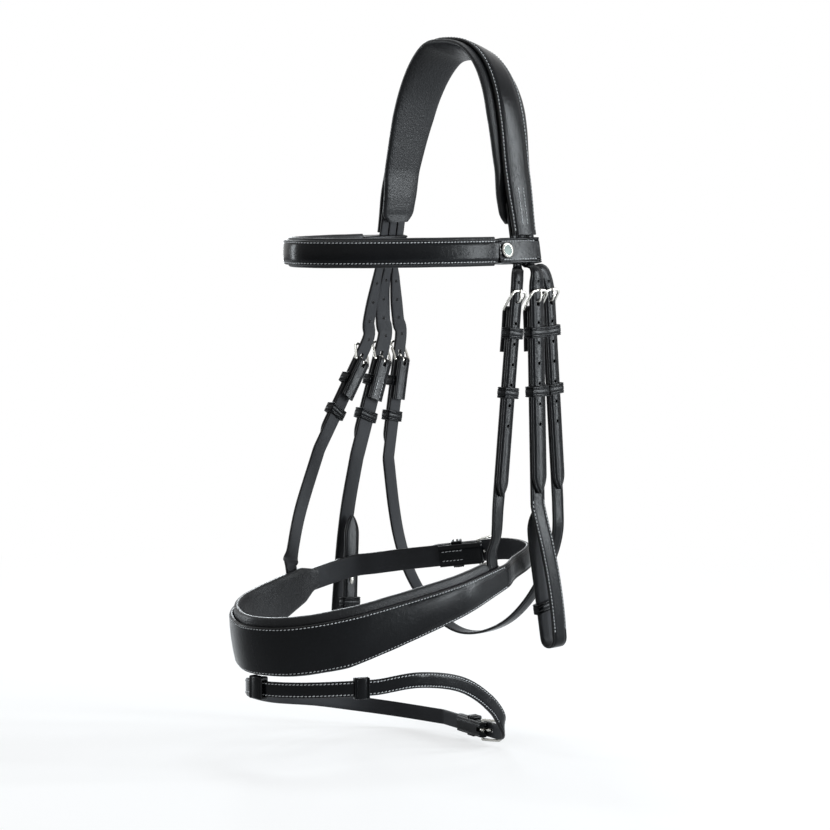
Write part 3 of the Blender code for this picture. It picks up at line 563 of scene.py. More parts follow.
def add_block(mesh, low, high, matrix, finish=EDGE):
    """Adds a box between two corners, in a station's directions, to a cutter."""
    low, size = Vector(low), Vector(high) - Vector(low)
    made = bmesh.ops.create_cube(mesh, size=1)["verts"]
    for vert in made:
        vert.co = matrix @ (low + Vector([(vert.co[i] + 0.5) * size[i] for i in range(3)]))
    for face in {face for vert in made for face in vert.link_faces}:
        face.material_index = finish


def add_rod(mesh, radius, long, matrix, sides=14, finish=EDGE):
    """Adds a round rod to a cutter."""
    made = bmesh.ops.create_cone(mesh, cap_ends=True, segments=sides, radius1=radius, radius2=radius,
                                 depth=long, matrix=matrix)["verts"]
    for face in {face for vert in made for face in vert.link_faces}:
        face.material_index = finish


print("pieces can be made")

# %% [markdown]
# ## Thread
# Saddlers sew with waxed linen thread, five to eight stitches to the inch, in a line pricked a couple of
# millimetres from the edge. Each stitch dives into the leather at both ends. They are modelled one by one
# as small swollen grains, slightly aslant, because a row of real bumps catches the light the way a
# painted line never does.

# %% Stitches
PITCH, STITCH, THREAD_RADIUS, SLANT = 0.0030, 0.00225, 0.00040, math.radians(8)
STITCH_RINGS = ((-0.5, 0.3, -0.4), (-0.3, 0.9, 0.3), (0, 1.0, 0.6), (0.3, 0.9, 0.3), (0.5, 0.3, -0.4))
STITCH_SIDES = 6


def add_stitch(mesh, centre, along, out):
    """One stitch: a grain of thread that dips into the leather at both ends."""
    side = out.cross(along)
    along = along * math.cos(SLANT) + side * math.sin(SLANT)
    side = out.cross(along)
    rings = []
    for at, thick, rise in STITCH_RINGS:
        ring = []
        for k in range(STITCH_SIDES):
            turn = 2 * math.pi * k / STITCH_SIDES
            ring.append(mesh.verts.new(centre + along * STITCH * at + (
                side * math.cos(turn) * thick + out * (math.sin(turn) * thick + rise)) * THREAD_RADIUS))
        rings.append(ring)
    for a, b in zip(rings, rings[1:]):
        join_rings(mesh, a, b, 0)
    mesh.faces.new(rings[0])
    mesh.faces.new(rings[-1])


def sew(mesh, path, across, sideways, out_by, start=0.0, stop=None, pitch=PITCH):
    """Adds a row of stitches beside a path, between two lengths along it; the offsets may be rules."""
    run, along = lengths(path), tangents(path)
    stop = run[-1] if stop is None else stop
    count, i = int((stop - start) / pitch), 0
    for k in range(count):
        want = start + (k + 0.5) * pitch
        while i < len(run) - 2 and run[i + 1] < want:
            i += 1
        t = (want - run[i]) / (run[i + 1] - run[i])
        point, forward = path[i].lerp(path[i + 1], t), along[i].lerp(along[i + 1], t).normalized()
        wide = value(across, want, point)
        wide = (wide - forward * wide.dot(forward)).normalized()
        out = forward.cross(wide)
        beside = wide * value(sideways, want, point) + out * value(out_by, want, point)
        add_stitch(mesh, point + beside, forward, out)


print("thread of", THREAD_RADIUS * 2000, "mm")

# %% [markdown]
# ## The crown
# The poll strap carries everything. Its outer leather is stitched along both edges, and the padding below
# it is wider and rolls up beside it, which spares the bones behind the horse's ears. It twists as it
# comes over the poll, so its width leans back there. Near each end a narrow box of stitches holds the
# strap ends that are sewn inside.

# %% Crown
CROWN, CROWN_THICK, CROWN_PAD, CROWN_PAD_END, CROWN_PAD_THICK = 0.030, 0.0026, 0.046, 0.034, 0.0060
CROWN_END, CROWN_PAD_STOP, POLL_TILT, TILT_FADES = 0.0015, 0.012, math.radians(17), 0.090
CROWN_NARROW, CROWN_NARROWS, CROWN_SWELL = 0.0262, 0.045, 0.0009
PRESS_IN, PRESS_WIDE, PRESS_DEEP = 0.006, 0.0022, 0.3
EDGE_ROW_IN, BOX_IN, BOX_LONG, BOX_HALF, BOX_RISE, BOX_PITCH = 0.003, 0.008, 0.032, 0.0028, 0.0008, 0.0028
CROWN_FLOOR = BILLET / 2 + SEAM
NEAR_ARCH = ((0.668, 0, 0.180), (0.625, 0, 0.118), (0.555, 0, 0.064), (0.435, 0, 0.022),
             (0.250, 0, -0.006))
FAR_ARCH = ((-0.160, 0, -0.006), (-0.310, 0, 0.022), (-0.445, 0, 0.066), (-0.550, 0, 0.120),
            (-0.640, 0, 0.180))


def crown_path(stop):
    ends = [[crown_end(side).point(-up, CROWN_FLOOR) for up in (stop, SEWN_LONG + BILLET)]
            for side in (NEAR, FAR)]
    near, far = ([place(share) for share in shares] for shares in (NEAR_ARCH, FAR_ARCH))
    top = Vector((0, 0, CROWN_PAD_THICK + SEAM))
    points = ends[0] + near + [top] + far + list(reversed(ends[1]))
    return even(curve(points, straight=(0, len(points) - 2)))


def crown_across(run, point):
    blend = min(1, max(0, 1 + point.z / TILT_FADES))
    turn = POLL_TILT * smooth(blend)
    return Vector((0, -math.cos(turn), math.sin(turn)))


path = crown_path(CROWN_END)
whole = lengths(path)[-1]


def crown_width(run):
    """The strap narrows to the bundle of strap ends that it holds."""
    grow = min(1, min(run, whole - run) / CROWN_NARROWS)
    return CROWN_NARROW + (CROWN - CROWN_NARROW) * smooth(grow)


def crown_outline(run, point):
    return strap_outline(crown_width(run), CROWN_THICK, crown=CROWN_SWELL)


mesh = sweep(path, crown_across, crown_outline, lift=CROWN_THICK / 2)
dress("crown_strap", mesh, LEATHERS, "crown", ["crown_leather"])

pad_path = crown_path(CROWN_PAD_STOP)
pad_whole = lengths(pad_path)[-1]


def crown_pad_outline(run, point):
    """The lining narrows to its ends and is pressed thin at the seam across each of them."""
    from_end = min(run, pad_whole - run)
    grow = min(1, from_end / TILT_FADES)
    soft = 0.7 + 0.3 * min(1, from_end / CROWN_PAD_THICK)
    press = 1 - PRESS_DEEP * math.exp(-((from_end - PRESS_IN) / PRESS_WIDE) ** 2)
    puff = 1 + 0.02 * noise.noise(point * 60)
    width = (CROWN_PAD_END + (CROWN_PAD - CROWN_PAD_END) * grow) * soft
    return pad_outline(width, CROWN_PAD_THICK * press * puff * (0.75 + 0.25 * soft))


def crown_pad_lift(run, point):
    clear = SEWN_LONG - CROWN_PAD_STOP + BILLET
    fade = min(1, max(0, (min(run, pad_whole - run) - clear) / SEWN_LONG))
    return -(SEAM + CROWN_PAD_THICK / 2 + (BILLET + SEAM) * (1 - smooth(fade)))


mesh = sweep(pad_path, crown_across, crown_pad_outline, lift=crown_pad_lift)
crown_pad = dress("crown_pad", mesh, (LINING,), "crown", ["crown_padding"])

mesh = bmesh.new()
for edge in (NEAR, FAR):
    sew(mesh, path, crown_across, lambda run, point: edge * (crown_width(run) / 2 - CREASE), CROWN_THICK,
        EDGE_ROW_IN, whole - EDGE_ROW_IN)
for end in (BOX_IN, whole - BOX_IN - BOX_LONG):
    for inset in (-BOX_HALF, BOX_HALF):
        sew(mesh, path, crown_across, inset, CROWN_THICK + BOX_RISE, end, end + BOX_LONG, pitch=BOX_PITCH)
dress("crown_stitches", mesh, (THREAD,), "crown")
print("crown:", round(whole, 3), "m of strap")

# %% [markdown]
# ## The browband
# The band across the forehead has a flat padded lining that shows as a soft edge above and below it. At
# each end a leather loop is sewn on, through which the crown's strap ends pass, and a plain round metal
# button covers the seam.

# %% Browband
BROW, BROW_THICK, BROW_PAD, BROW_PAD_THICK = 0.0195, 0.0026, 0.0235, 0.0050
BROW_BULGE, BROW_FORWARD, BROW_STEPS = 0.0835, 0.176, 120
LOOP_FRONT, LOOP_WALL, LOOP_PLAY = 0.034, 0.0022, 0.0006
BUTTON, BUTTON_HIGH, BUTTON_FRONT = 0.0062, 0.0024, 0.0245
LOOP_BEAD, ROW_DOWN, ROW_FRONT, ROW_BACK = 0.0016, 0.0034, 0.030, 0.011
FRONT_ROW, FRONT_ROW_TOP, FRONT_ROW_FOOT = 0.0315, 0.005, 0.0165
BROW_SWELL, BUTTON_SIDES, SATIN_FROM = 0.0007, 40, 6
HALF_BUNDLE = 1.5 * SEWN + SEWN_GAP
LOOP_OUT = BILLET / 2 + SEAM + LOOP_WALL
BUTTON_PROFILE = ((0.96, 0.0), (1.0, 0.25), (1.0, 0.55), (0.95, 0.85), (0.86, 0.95), (0.80, 0.80),
                  (0.72, 0.78), (0.45, 0.92), (0.20, 0.98))


def rounded_box(low, high, radius, steps=5):
    """The corners of a rectangle with rounded corners, in order."""
    found = []
    for quarter, (sx, sy) in enumerate(((1, 1), (-1, 1), (-1, -1), (1, -1))):
        cx = (high[0] if sx > 0 else low[0]) - sx * radius
        cy = (high[1] if sy > 0 else low[1]) - sy * radius
        for k in range(steps + 1):
            turn = math.pi / 2 * (quarter + k / steps)
            found.append((cx + math.cos(turn) * radius, cy + math.sin(turn) * radius))
    return found


CUT, CUT_LINES = 0.0020, ((0.175, 0.62), (0.35, 0.96), (0.6, 0.98), (0.8, 0.72), (1, 0.94))


def band_ring(inner, outer, length, matrix, bead=0.0011, ease=0.0007):
    """A leather ring round a strap: rounded corners, eased ends and a raised bead along each end."""
    mesh = bmesh.new()
    inside = rounded_box(inner[:2], inner[2:], 0.0004)
    outside = rounded_box(outer[:2], outer[2:], 0.0012)
    profile = ((0, 0.0), (ease * 0.07, 0.35), (ease * 0.4, 0.8), (ease, 0.98), (bead, 0.96))
    profile += tuple((bead + CUT * share, out) for share, out in CUT_LINES)
    profile += tuple((length - at, out) for at, out in reversed(profile))
    rings = [[mesh.verts.new(matrix @ Vector((at, i[0] + (o[0] - i[0]) * out, i[1] + (o[1] - i[1]) * out)))
              for i, o in zip(inside, outside)] for at, out in profile]
    last = len(rings) - 1
    for n, (a, b) in enumerate(zip(rings, rings[1:] + rings[:1])):
        kind = FLESH if n == last else EDGE if n in (0, 1, last - 1, last - 2) else FACE
        join_rings(mesh, a, b, kind)
    return mesh


for side in (NEAR, FAR):
    end = crown_end(side)
    word = side_name(side)
    back = HALF_BUNDLE + LOOP_PLAY
    deep = BILLET / 2 + SEAM
    span = sorted((-LOOP_FRONT * side, (back + LOOP_WALL) * side))
    mesh = band_ring((-back, -deep, back, deep), (span[0], -LOOP_OUT, span[1], LOOP_OUT), LOOP_HIGH - SEAM,
                     end.matrix @ Matrix.Translation((SEAM, 0, 0)), bead=LOOP_BEAD)
    dress(f"{word}_brow_loop", mesh, LEATHERS, "browband", [f"browband_{word}_loop"])
    rows = bmesh.new()
    for down in (ROW_DOWN, LOOP_HIGH - ROW_DOWN):
        line = line_between(end.point(down, 0, -ROW_FRONT * side), end.point(down, 0, ROW_BACK * side), 20)
        sew(rows, line, -end.down * side, 0, LOOP_OUT, 0.001)
    front = [end.point(down, 0, -FRONT_ROW * side) for down in (FRONT_ROW_TOP, FRONT_ROW_FOOT)]
    sew(rows, line_between(*front, 8), end.across, 0, LOOP_OUT)
    dress(f"{word}_brow_loop_stitches", rows, (THREAD,), "browband")

    seat = end.point(LOOP_HIGH / 2, LOOP_OUT + SEAM, -BUTTON_FRONT * side)
    facing = Station(seat, end.down, end.out)
    mesh = bmesh.new()
    rings = []
    turns = [2 * math.pi * k / BUTTON_SIDES for k in range(BUTTON_SIDES)]
    for radius, high in BUTTON_PROFILE:
        reach = radius * BUTTON
        rings.append([mesh.verts.new(facing.matrix @ Vector((
            math.cos(turn) * reach, math.sin(turn) * reach, high * BUTTON_HIGH))) for turn in turns])
    for i, (a, b) in enumerate(zip(rings, rings[1:])):
        join_rings(mesh, a, b, int(i >= SATIN_FROM))
    mesh.faces.new(rings[0])
    mesh.faces.new(rings[-1]).material_index = 1
    dress(f"{word}_button", mesh, (NICKEL, SATIN_NICKEL), "browband", [f"browband_{word}_button"])

brow_level = crown_end(NEAR).point(LOOP_HIGH / 2).z
brow_start = LOOP_FRONT + SEAM
first = math.asin((brow_start + BROW_PAD_THICK) / BROW_FORWARD)
path = [Vector((BROW_BULGE * math.cos(turn), -BROW_FORWARD * math.sin(turn), brow_level))
        for turn in (first + (math.pi - 2 * first) * k / BROW_STEPS for k in range(BROW_STEPS + 1))]
path = [Vector((path[0].x, -brow_start, brow_level))] + path + [Vector((path[-1].x, -brow_start, brow_level))]
path = even(path)
mesh = sweep(path, -UP, lambda run, point: strap_outline(BROW, BROW_THICK, crown=BROW_SWELL),
             lift=-BROW_THICK / 2)
dress("brow_strap", mesh, LEATHERS, "browband", ["browband_leather"])


def brow_pad_outline(run, point):
    return pad_outline(BROW_PAD * (1 + 0.01 * noise.noise(point * 45)), BROW_PAD_THICK)


mesh = sweep(path, -UP, brow_pad_outline, lift=-(BROW_THICK + SEAM + BROW_PAD_THICK / 2))
brow_pad = dress("brow_pad", mesh, (LINING,), "browband", ["browband_padding"])
mesh = bmesh.new()
for edge in (NEAR, FAR):
    sew(mesh, path, -UP, edge * (BROW / 2 - CREASE), -0.0001, 0.003)
dress("brow_stitches", mesh, (THREAD,), "browband")
print("browband:", round(lengths(path)[-1], 3), "m")

# %% [markdown]
# ## Buckles and keepers
# Every strap end goes through a wire buckle: a straight bar that the strap folds round, two sides that
# rise beside the strap end and an arched top over it. A flat tongue turns on the bar and rests on the
# top. A sewn keeper and a sliding runner hold the strap end down. They are repeated eight times, so they
# are written once.


# %% Buckle parts
def loop_of_wire(points, flat):
    """A closed bar with a slightly flattened round section, along a flat loop of points."""
    mesh = bmesh.new()
    count, sides = len(points), 12
    level = (points[1] - points[0]).cross(points[count // 2] - points[0]).normalized()
    rings = []
    for i, point in enumerate(points):
        along = (points[(i + 1) % count] - points[i - 1]).normalized()
        side = along.cross(level).normalized()
        ring = []
        for k in range(sides):
            turn = 2 * math.pi * k / sides
            c, s = math.cos(turn), math.sin(turn)
            ring.append(mesh.verts.new(point + level * math.copysign(abs(c) ** 0.8, c) * WIRE
                                       + side * math.copysign(abs(s) ** 0.8, s) * WIRE * flat))
        rings.append(ring)
    for a, b in zip(rings, rings[1:] + rings[:1]):
        join_rings(mesh, a, b, 0)
    return mesh


def buckle(prefix, station, width, body):
    """The frame, its tongue on the bar and the sewn keeper below it."""
    half = width / 2 + SIDE_PLAY + WIRE
    shares = ((0, 0.55, 0), (0, 0.9, 0), (0.03, 1, 0.02), (0.5, 1, 0.56), (0.72, 0.985, 0.85),
              (0.8, 0.95, 0.94), (0.95, 0.72, 1), (1, 0.25, 1))
    side = [Vector((-FRAME * up, half * out, BAR + (TOP - BAR) * rise)) for up, out, rise in shares]
    loop = side + [Vector((p.x, -p.y, p.z)) for p in reversed(side)]
    smooth = curve(loop + loop[:1], straight=(0, len(loop) - 1, len(loop) - 2), steps=4)[:-1]
    mesh = loop_of_wire([station.matrix @ p for p in smooth], 1.12)
    dress(prefix + "_frame", mesh, (NICKEL,), body, [prefix + "_buckle"])

    curl = WIRE + SEAM + TONGUE / 2
    over = TOP - BAR + WIRE + SEAM + TONGUE / 2
    line = [Vector((math.sin(turn), 0, math.cos(turn))) * curl
            for turn in (math.radians(250) * (1 - k / 12) for k in range(13))]
    bends = [line[-1], Vector((-FRAME * 0.28, 0, -BAR + UNDER)),
             Vector((-FRAME * 0.42, 0, -BAR + BILLET / 2 + TONGUE)),
             Vector((-FRAME * 0.62, 0, over - TONGUE / 4)), Vector((-FRAME * 0.9, 0, over)),
             Vector((-FRAME - WIRE, 0, over))]
    line = line + curve(bends, steps=5)[1:]
    placed = [station.point(p.x, BAR + p.z) for p in line]
    long = lengths(placed)[-1]

    def tongue_outline(run, point):
        taper = 0.72 + 0.28 * min(1, (long - run) / 0.004)
        a, h = TONGUE_WIDTH / 2 * taper, TONGUE / 2 * taper
        return [(a * math.copysign(abs(math.cos(t)) ** 0.7, math.cos(t)),
                 h * math.copysign(abs(math.sin(t)) ** 0.8, math.sin(t)), 0)
                for t in (2 * math.pi * (k + 0.5) / 12 for k in range(12))]

    mesh = sweep(placed, station.across, tongue_outline)
    dress(prefix + "_pin", mesh, (NICKEL,), prefix + "_tongue", [prefix + "_tongue"])
    keeper(prefix + "_loop", station, width, KEEPER_DOWN, body, prefix + "_keeper")


def keeper(name, station, width, down, body, node, length=KEEPER):
    """A leather ring round the strap end and the strap below it."""
    half, wall = width / 2 + KEEPER_PLAY, KEEPER_WALL
    mesh = band_ring((-half, STACK_LOW, half, STACK_HIGH),
                     (-half - wall, STACK_LOW - wall, half + wall, STACK_HIGH + wall), length,
                     station.matrix @ Matrix.Translation((down, 0, 0)))
    dress(name, mesh, LEATHERS, body, [node])


def sleeve(name, station, width, thick, play, length, body, node):
    """A leather ring round one strap, centred on the station."""
    half, deep, wall = width / 2 + play, thick / 2 + play, KEEPER_WALL
    mesh = band_ring((-half, -deep, half, deep), (-half - wall, -deep - wall, half + wall, deep + wall),
                     length, station.matrix @ Matrix.Translation((-length / 2, 0, 0)))
    dress(name, mesh, LEATHERS, body, [node])


def bar_slot(station):
    """The slot through a folded end, where the tongue turns."""
    mesh = bmesh.new()
    half, reach = TONGUE_WIDTH / 2 + SLOT_PLAY, FOLD + STRAP
    add_block(mesh, (-reach, -half, BEHIND - STRAP), (reach, half, UNDER + STRAP / 2), station.matrix)
    return mesh


def tongue_hole(station):
    """The hole that the tongue comes up through."""
    mesh = bmesh.new()
    half, middle = TONGUE_WIDTH / 2 + SLOT_PLAY, -FRAME * 0.38
    add_block(mesh, (middle - BILLET, -half, -BILLET), (middle + BILLET, half, BILLET), station.matrix)
    return mesh


def folded_end(station, start):
    """A strap from below the bar, up and over it, and back down behind."""
    path = [station.point(start, UNDER), station.point(0, UNDER)]
    for k in range(1, 12):
        turn = math.pi * k / 12
        path.append(station.point(-FOLD * math.sin(turn), BAR + FOLD * math.cos(turn)))
    path += [station.point(0, BAR - FOLD), station.point(KEEPER_DOWN - KEEPER_WALL, BEHIND),
             station.point(CHAPE, BEHIND)]
    return path


def guide(hint, *stations):
    """The direction of a strap's width: a station's own near its bar, and the hint elsewhere."""
    def across(run, point):
        for station in stations:
            near = CHAPE + STRAP
            away = (point - station.origin).length
            own = station.across * math.copysign(1, station.across.dot(hint))
            if away < near:
                return own
            if away < 2 * near:
                return own.lerp(hint, (away - near) / near)
        return hint
    return across


print("buckle parts ready")

# %% [markdown]
# ## Strap ends
# A billet is the strap end with the holes. Three are sewn side by side into each end of the crown, where
# they are narrow, and they fan out below the browband's loop to their full width. The tip is cut to a
# blunt point.

# %% Billets
NEAR_HOLES, FAR_HOLES = (-1, 1, 2, 3, 4, 5, 6), (-4, -3, -2, -1, 1, 2)
STATIONS = {
    ("cheek", NEAR): Station(place((0.885, 0.020, 0.416)), Vector((0.01, 0.02, -1)), OUTWARDS),
    ("cheek", FAR): Station(place((-0.900, -0.005, 0.516)), Vector((0, -0.34, -0.94)), -OUTWARDS),
    ("hanger", NEAR): Station(place((0.880, -0.105, 0.416)), Vector((-0.005, -0.10, -1)), OUTWARDS),
    ("hanger", FAR): Station(place((-0.900, -0.130, 0.516)), Vector((0, -0.56, -0.83)), -OUTWARDS),
    ("throat", NEAR): Station(place((0.820, 0.135, 0.416)), Vector((0, 0.085, -1)), OUTWARDS),
    ("throat", FAR): Station(place((-0.900, 0.110, 0.516)), Vector((0, -0.17, -0.985)), -OUTWARDS),
}
FAR_BENDS = {"cheek": ((-0.840, 0.002, 0.400), (-0.880, 0.015, 0.450)),
             "hanger": ((-0.840, -0.064, 0.400), (-0.882, -0.076, 0.450)),
             "throat": ((-0.840, 0.066, 0.400), (-0.882, 0.102, 0.450))}
LANES = {"cheek": 0, "hanger": -1, "throat": 1}
BILLET_SWELL, BILLET_FLAT, BILLET_SAG, BILLET_LEAD = 0.0008, 0.0006, 0.0003, {NEAR: 0.0130, FAR: LEAD}
TUCK, TUCK_BELOW, TUCK_FADES, LOOP_THIN = 0.0032, 0.0030, 0.012, 0.0001
FAN_LONG, FAN_RISE = {NEAR: 0.014, FAR: 0.040}, {"cheek": 0.0036, "hanger": -0.0002, "throat": -0.0002}
CARRIERS = {("cheek", NEAR): "near_cheek", ("cheek", FAR): "far_cheek", ("hanger", NEAR): "noseband",
            ("hanger", FAR): "noseband", ("throat", NEAR): "throatlatch", ("throat", FAR): "throatlatch"}


def tip(left, width):
    """The share of its width that a strap keeps at a given length from its tip."""
    t = min(1, max(0, left / (width * 0.95)))
    return 0.16 + 0.84 * (1 - (1 - t) ** 1.8) ** 0.8


def holes_along(path, across, tail, holes):
    """Round punched holes, counted in pitches down from the tongue's own."""
    mesh = bmesh.new()
    run = lengths(path)
    for k in holes:
        want = run[-1] - tail - FRAME * 0.38 + HOLE_PITCH * k
        i = max(j for j in range(len(run) - 1) if run[j] <= want)
        along = (path[i + 1] - path[i]).normalized()
        at = Station(path[i] + along * (want - run[i]), along, along.cross(across))
        add_rod(mesh, HOLE, 3 * BILLET, at.matrix)
    return mesh


for (kind, side), station in STATIONS.items():
    word = f"{side_name(side)}_{kind}"
    width = CHEEK if kind == "cheek" else NARROW
    tail, holes = (TAIL, NEAR_HOLES) if side == NEAR else (SHORT_TAIL, FAR_HOLES)
    end, offset = crown_end(side), LANES[kind] * side * (SEWN + SEWN_GAP)
    tuck = TUCK if kind == "throat" else 0
    points = [end.point(-SEWN_LONG, 0, offset), end.point(0, 0, offset)]
    points += [end.point(LOOP_HIGH + more, 0, offset - side * tuck / 2) for more in (SEAM, BILLET)]
    points += [place(share) for share in FAR_BENDS[kind]] if side == FAR else []
    bends = len(points)
    points += [station.point(-BILLET_LEAD[side]), station.point(tail - width), station.point(tail)]
    path = even(curve(points, straight=(0, 1, 2, bends, bends + 1)), soften=1)
    whole = lengths(path)[-1]
    fan = SEWN_LONG + LOOP_HIGH + SEAM
    grown = whole - tail - BILLET_LEAD[side]

    def held(run):
        """One inside the loop, and fading below it."""
        return min(1, max(0, 1 - (run - fan - TUCK_BELOW) / TUCK_FADES))

    def wide(run, point):
        """The throatlatch's end is cut narrower in the loop, which leaves the browband room to swing."""
        grow = min(1, max(0, (run - fan - TUCK_BELOW) / FAN_LONG[side]))
        waist = tuck * min(1, max(0, (run - SEWN_LONG) / LOOP_HIGH)) * held(run)
        return (SEWN - waist + (width - SEWN) * smooth(grow)) * tip(whole - run, width)

    def raise_middle(run, point):
        """The cheekpiece's strap end lies over its neighbours while they fan out."""
        part = min(1, max(0, (run - fan) / (grown - fan)))
        if side == NEAR:
            return FAN_RISE[kind] * math.sin(math.pi * part ** 0.6) ** 2
        return FAN_RISE[kind] * math.sin(math.pi * part) ** 2 * 0.6

    def billet_outline(run, point):
        thick = BILLET - 2 * BILLET_SAG - 2 * LOOP_THIN * held(run)
        return strap_outline(wide(run, point), thick, crown=BILLET_SWELL - BILLET_FLAT * held(run))

    mesh = sweep(path, end.across, billet_outline,
                 lift=lambda run, point: raise_middle(run, point) - BILLET_SAG + LOOP_THIN * held(run))
    cutters = (tongue_hole(station), holes_along(path, end.across, tail, holes))
    carrier = CARRIERS[kind, side]
    dress(word + "_strap_end", mesh, LEATHERS, "crown", [word + "_billet"],
          bend=(carrier, end.point(LOOP_HIGH, 0, offset), station.point(-LEAD)), cutters=cutters)
    buckle(word, station, width, carrier)
    slide = RUNNER_DOWN if side == NEAR else SHORT_RUNNER_DOWN
    keeper(word + "_slider", station, width, slide, word + "_runner", word + "_runner")
    print(word, "billet:", round(whole, 3), "m")

# %% [markdown]
# ## Cheekpieces
# A cheekpiece hangs from its buckle to the bit. Its top end folds round the bar and is sewn down behind.
# Its lower end turns up on the inside, which leaves the loop for the bit's ring, and hooks over a small
# metal stud. The near one is stitched along both edges below the buckle.

# %% Cheekpieces
BIT_BEND, BIT_KEEPER_PLAY = 0.007, 0.0005
CHEEK_PLANS = {
    NEAR: (TAIL, ((0.880, 0.055, 0.765), (0.888, 0.085, 0.805), (0.893, 0.120, 0.860), (0.893, 0.148, 0.915),
                  (0.890, 0.165, 0.962)),
           ((0.748, 0.142, 0.910), (0.765, 0.095, 0.830), (0.795, 0.060, 0.780), (0.820, 0.045, 0.745))),
    FAR: (SHORT_TAIL, ((-0.905, -0.180, 0.750), (-0.920, -0.200, 0.810), (-0.920, -0.218, 0.870),
                       (-0.920, -0.232, 0.925), (-0.918, -0.240, 0.966)),
          ((-0.790, -0.230, 0.920), (-0.810, -0.215, 0.860), (-0.830, -0.200, 0.815),
           (-0.850, -0.188, 0.775)))}

for side, (tail, lower, turned) in CHEEK_PLANS.items():
    word = side_name(side) + "_cheek"
    station = STATIONS["cheek", side]
    down = [place(share) for share in lower]
    middle = down[-1] - OUTWARDS * side * BIT_BEND
    bend = [middle + (OUTWARDS * side * math.cos(turn) - UP * math.sin(turn)) * BIT_BEND
            for turn in (math.pi * (k + 0.5) / 12 for k in range(12))]
    back = [middle - OUTWARDS * side * BIT_BEND] + [place(share) for share in turned]
    fold = folded_end(station, tail + PAST_TIP)
    path = even(list(reversed(fold)) + curve(fold[:1] + down)[1:] + bend + curve(back), step=0.002, soften=1)
    whole = lengths(path)[-1]
    across = guide(BACKWARDS * side, station)
    mesh = sweep(path, across, lambda run, point: strap_outline(CHEEK * tip(whole - run, CHEEK), STRAP))
    dress(word + "_piece", mesh, LEATHERS, word, [word + "_strap"], cutters=[bar_slot(station)])

    rows = bmesh.new()
    below = lengths(fold)[-1]
    ends = whole - lengths(back)[-1] - math.pi * BIT_BEND
    for edge in (NEAR, FAR):
        sew(rows, path, across, edge * (CHEEK / 2 - CREASE), STRAP / 2 - 0.0001, below - 0.006, ends - 0.006)
    for inset in (-0.003, 0.003):
        sew(rows, path, across, inset, STRAP / 2 + 0.0002, 0.002, 0.018)
    dress(word + "_stitches", rows, (THREAD,), word)
    spot = Station(back[1], back[0] - back[2], OUTWARDS * side)
    sleeve(side_name(side) + "_bit_loop", spot, CHEEK, STRAP, BIT_KEEPER_PLAY, KEEPER, word,
           side_name(side) + "_bit_keeper")

    inner = Station(place(turned[1]).lerp(place(turned[0]), 0.35), back[1] - back[2], -OUTWARDS * side)
    mesh = bmesh.new()
    bmesh.ops.create_uvsphere(mesh, u_segments=24, v_segments=14, radius=1)
    for vert in mesh.verts:
        x, y, z = vert.co
        vert.co = inner.matrix @ Vector((x * 0.0046, y * 0.0021, STRAP / 2 + 0.0004 + z * 0.0011))
    dress(side_name(side) + "_hook_stud", mesh, (NICKEL,), word)
    print(word, "piece:", round(whole, 3), "m")

# %% [markdown]
# ## The noseband
# One long strap makes the noseband. It is wide over the nose and narrows to a plain strap that buckles
# behind the jaw. Its lining is rolled and stands above the leather, with a groove between them, so that
# no cut edge touches the horse. Two straps from the crown are sewn in behind the leather and carry it.

# %% Noseband
BAND_TILT, BAND_DROP = math.radians(9.5), 0.4201
NOSE, NOSE_BACK, NEAR_GROWS, FAR_GROWS, NOSE_GROWN, NOSE_PAD_STOP = 0.039, 0.0185, 0.010, 0.100, 0.185, 0.090
NOSE_PAD_THICK, NOSE_ROLL, NOSE_HEM, HANGER_SEAT = 0.0066, 0.0065, 0.0022, 0.013
BAND_NORMAL = Vector((0, -math.sin(BAND_TILT), math.cos(BAND_TILT)))
RING = ((0.520, 0.175), (0.690, -0.010), (0.782, -0.100), (0.806, -0.200), (0.835, -0.400), (0.745, -0.695),
        (0.620, -0.925), (0.370, -1.095), (0, -1.150), (-0.330, -1.085), (-0.540, -0.980), (-0.640, -0.850),
        (-0.700, -0.690), (-0.755, -0.500), (-0.730, -0.255), (-0.600, -0.172))


def band_place(across_share, back_share):
    y = back_share * REACH
    return Vector((across_share * SPREAD, y, math.tan(BAND_TILT) * y - BAND_DROP))


def band_height(run, point):
    grows = NEAR_GROWS if point.x > 0 else FAR_GROWS
    grow = min(1, max(0, (-point.y - grows) / (NOSE_GROWN - grows)))
    return NOSE_BACK + (NOSE - NOSE_BACK) * grow


def band_shift(run, point):
    return (band_height(run, point) - NOSE_BACK) / 2


jaw_down = Vector((-0.75, -0.66, -0.66 * math.tan(BAND_TILT)))
jaw = Station(band_place(0.020, 0.140), jaw_down, BAND_NORMAL.cross(-jaw_down))
ring = [band_place(*share) for share in RING]
points = [jaw.point(BAND_TAIL), jaw.point(BAND_TAIL - NOSE_BACK), jaw.point(-LEAD)] + ring
fold = folded_end(jaw, BAND_TAIL + PAST_TIP)
round_face = even(curve(points + fold[:1], straight=(0, 1, len(points) - len(ring) + 2, len(points) - 4)))
strap_from = lengths(round_face)[-1]
path = round_face + even(fold, step=0.0015, soften=0)[1:]


def nose_outline(run, point):
    """The leather is flat and thin behind the jaw, and crowned over its padding in front."""
    forward = min(1, max(0, (-point.y - 0.02) / 0.08))
    height = band_height(run, point) * tip(run, NOSE_BACK)
    return strap_outline(height, STRAP if run > strap_from else BILLET, crown=0.0001 + 0.0012 * forward)


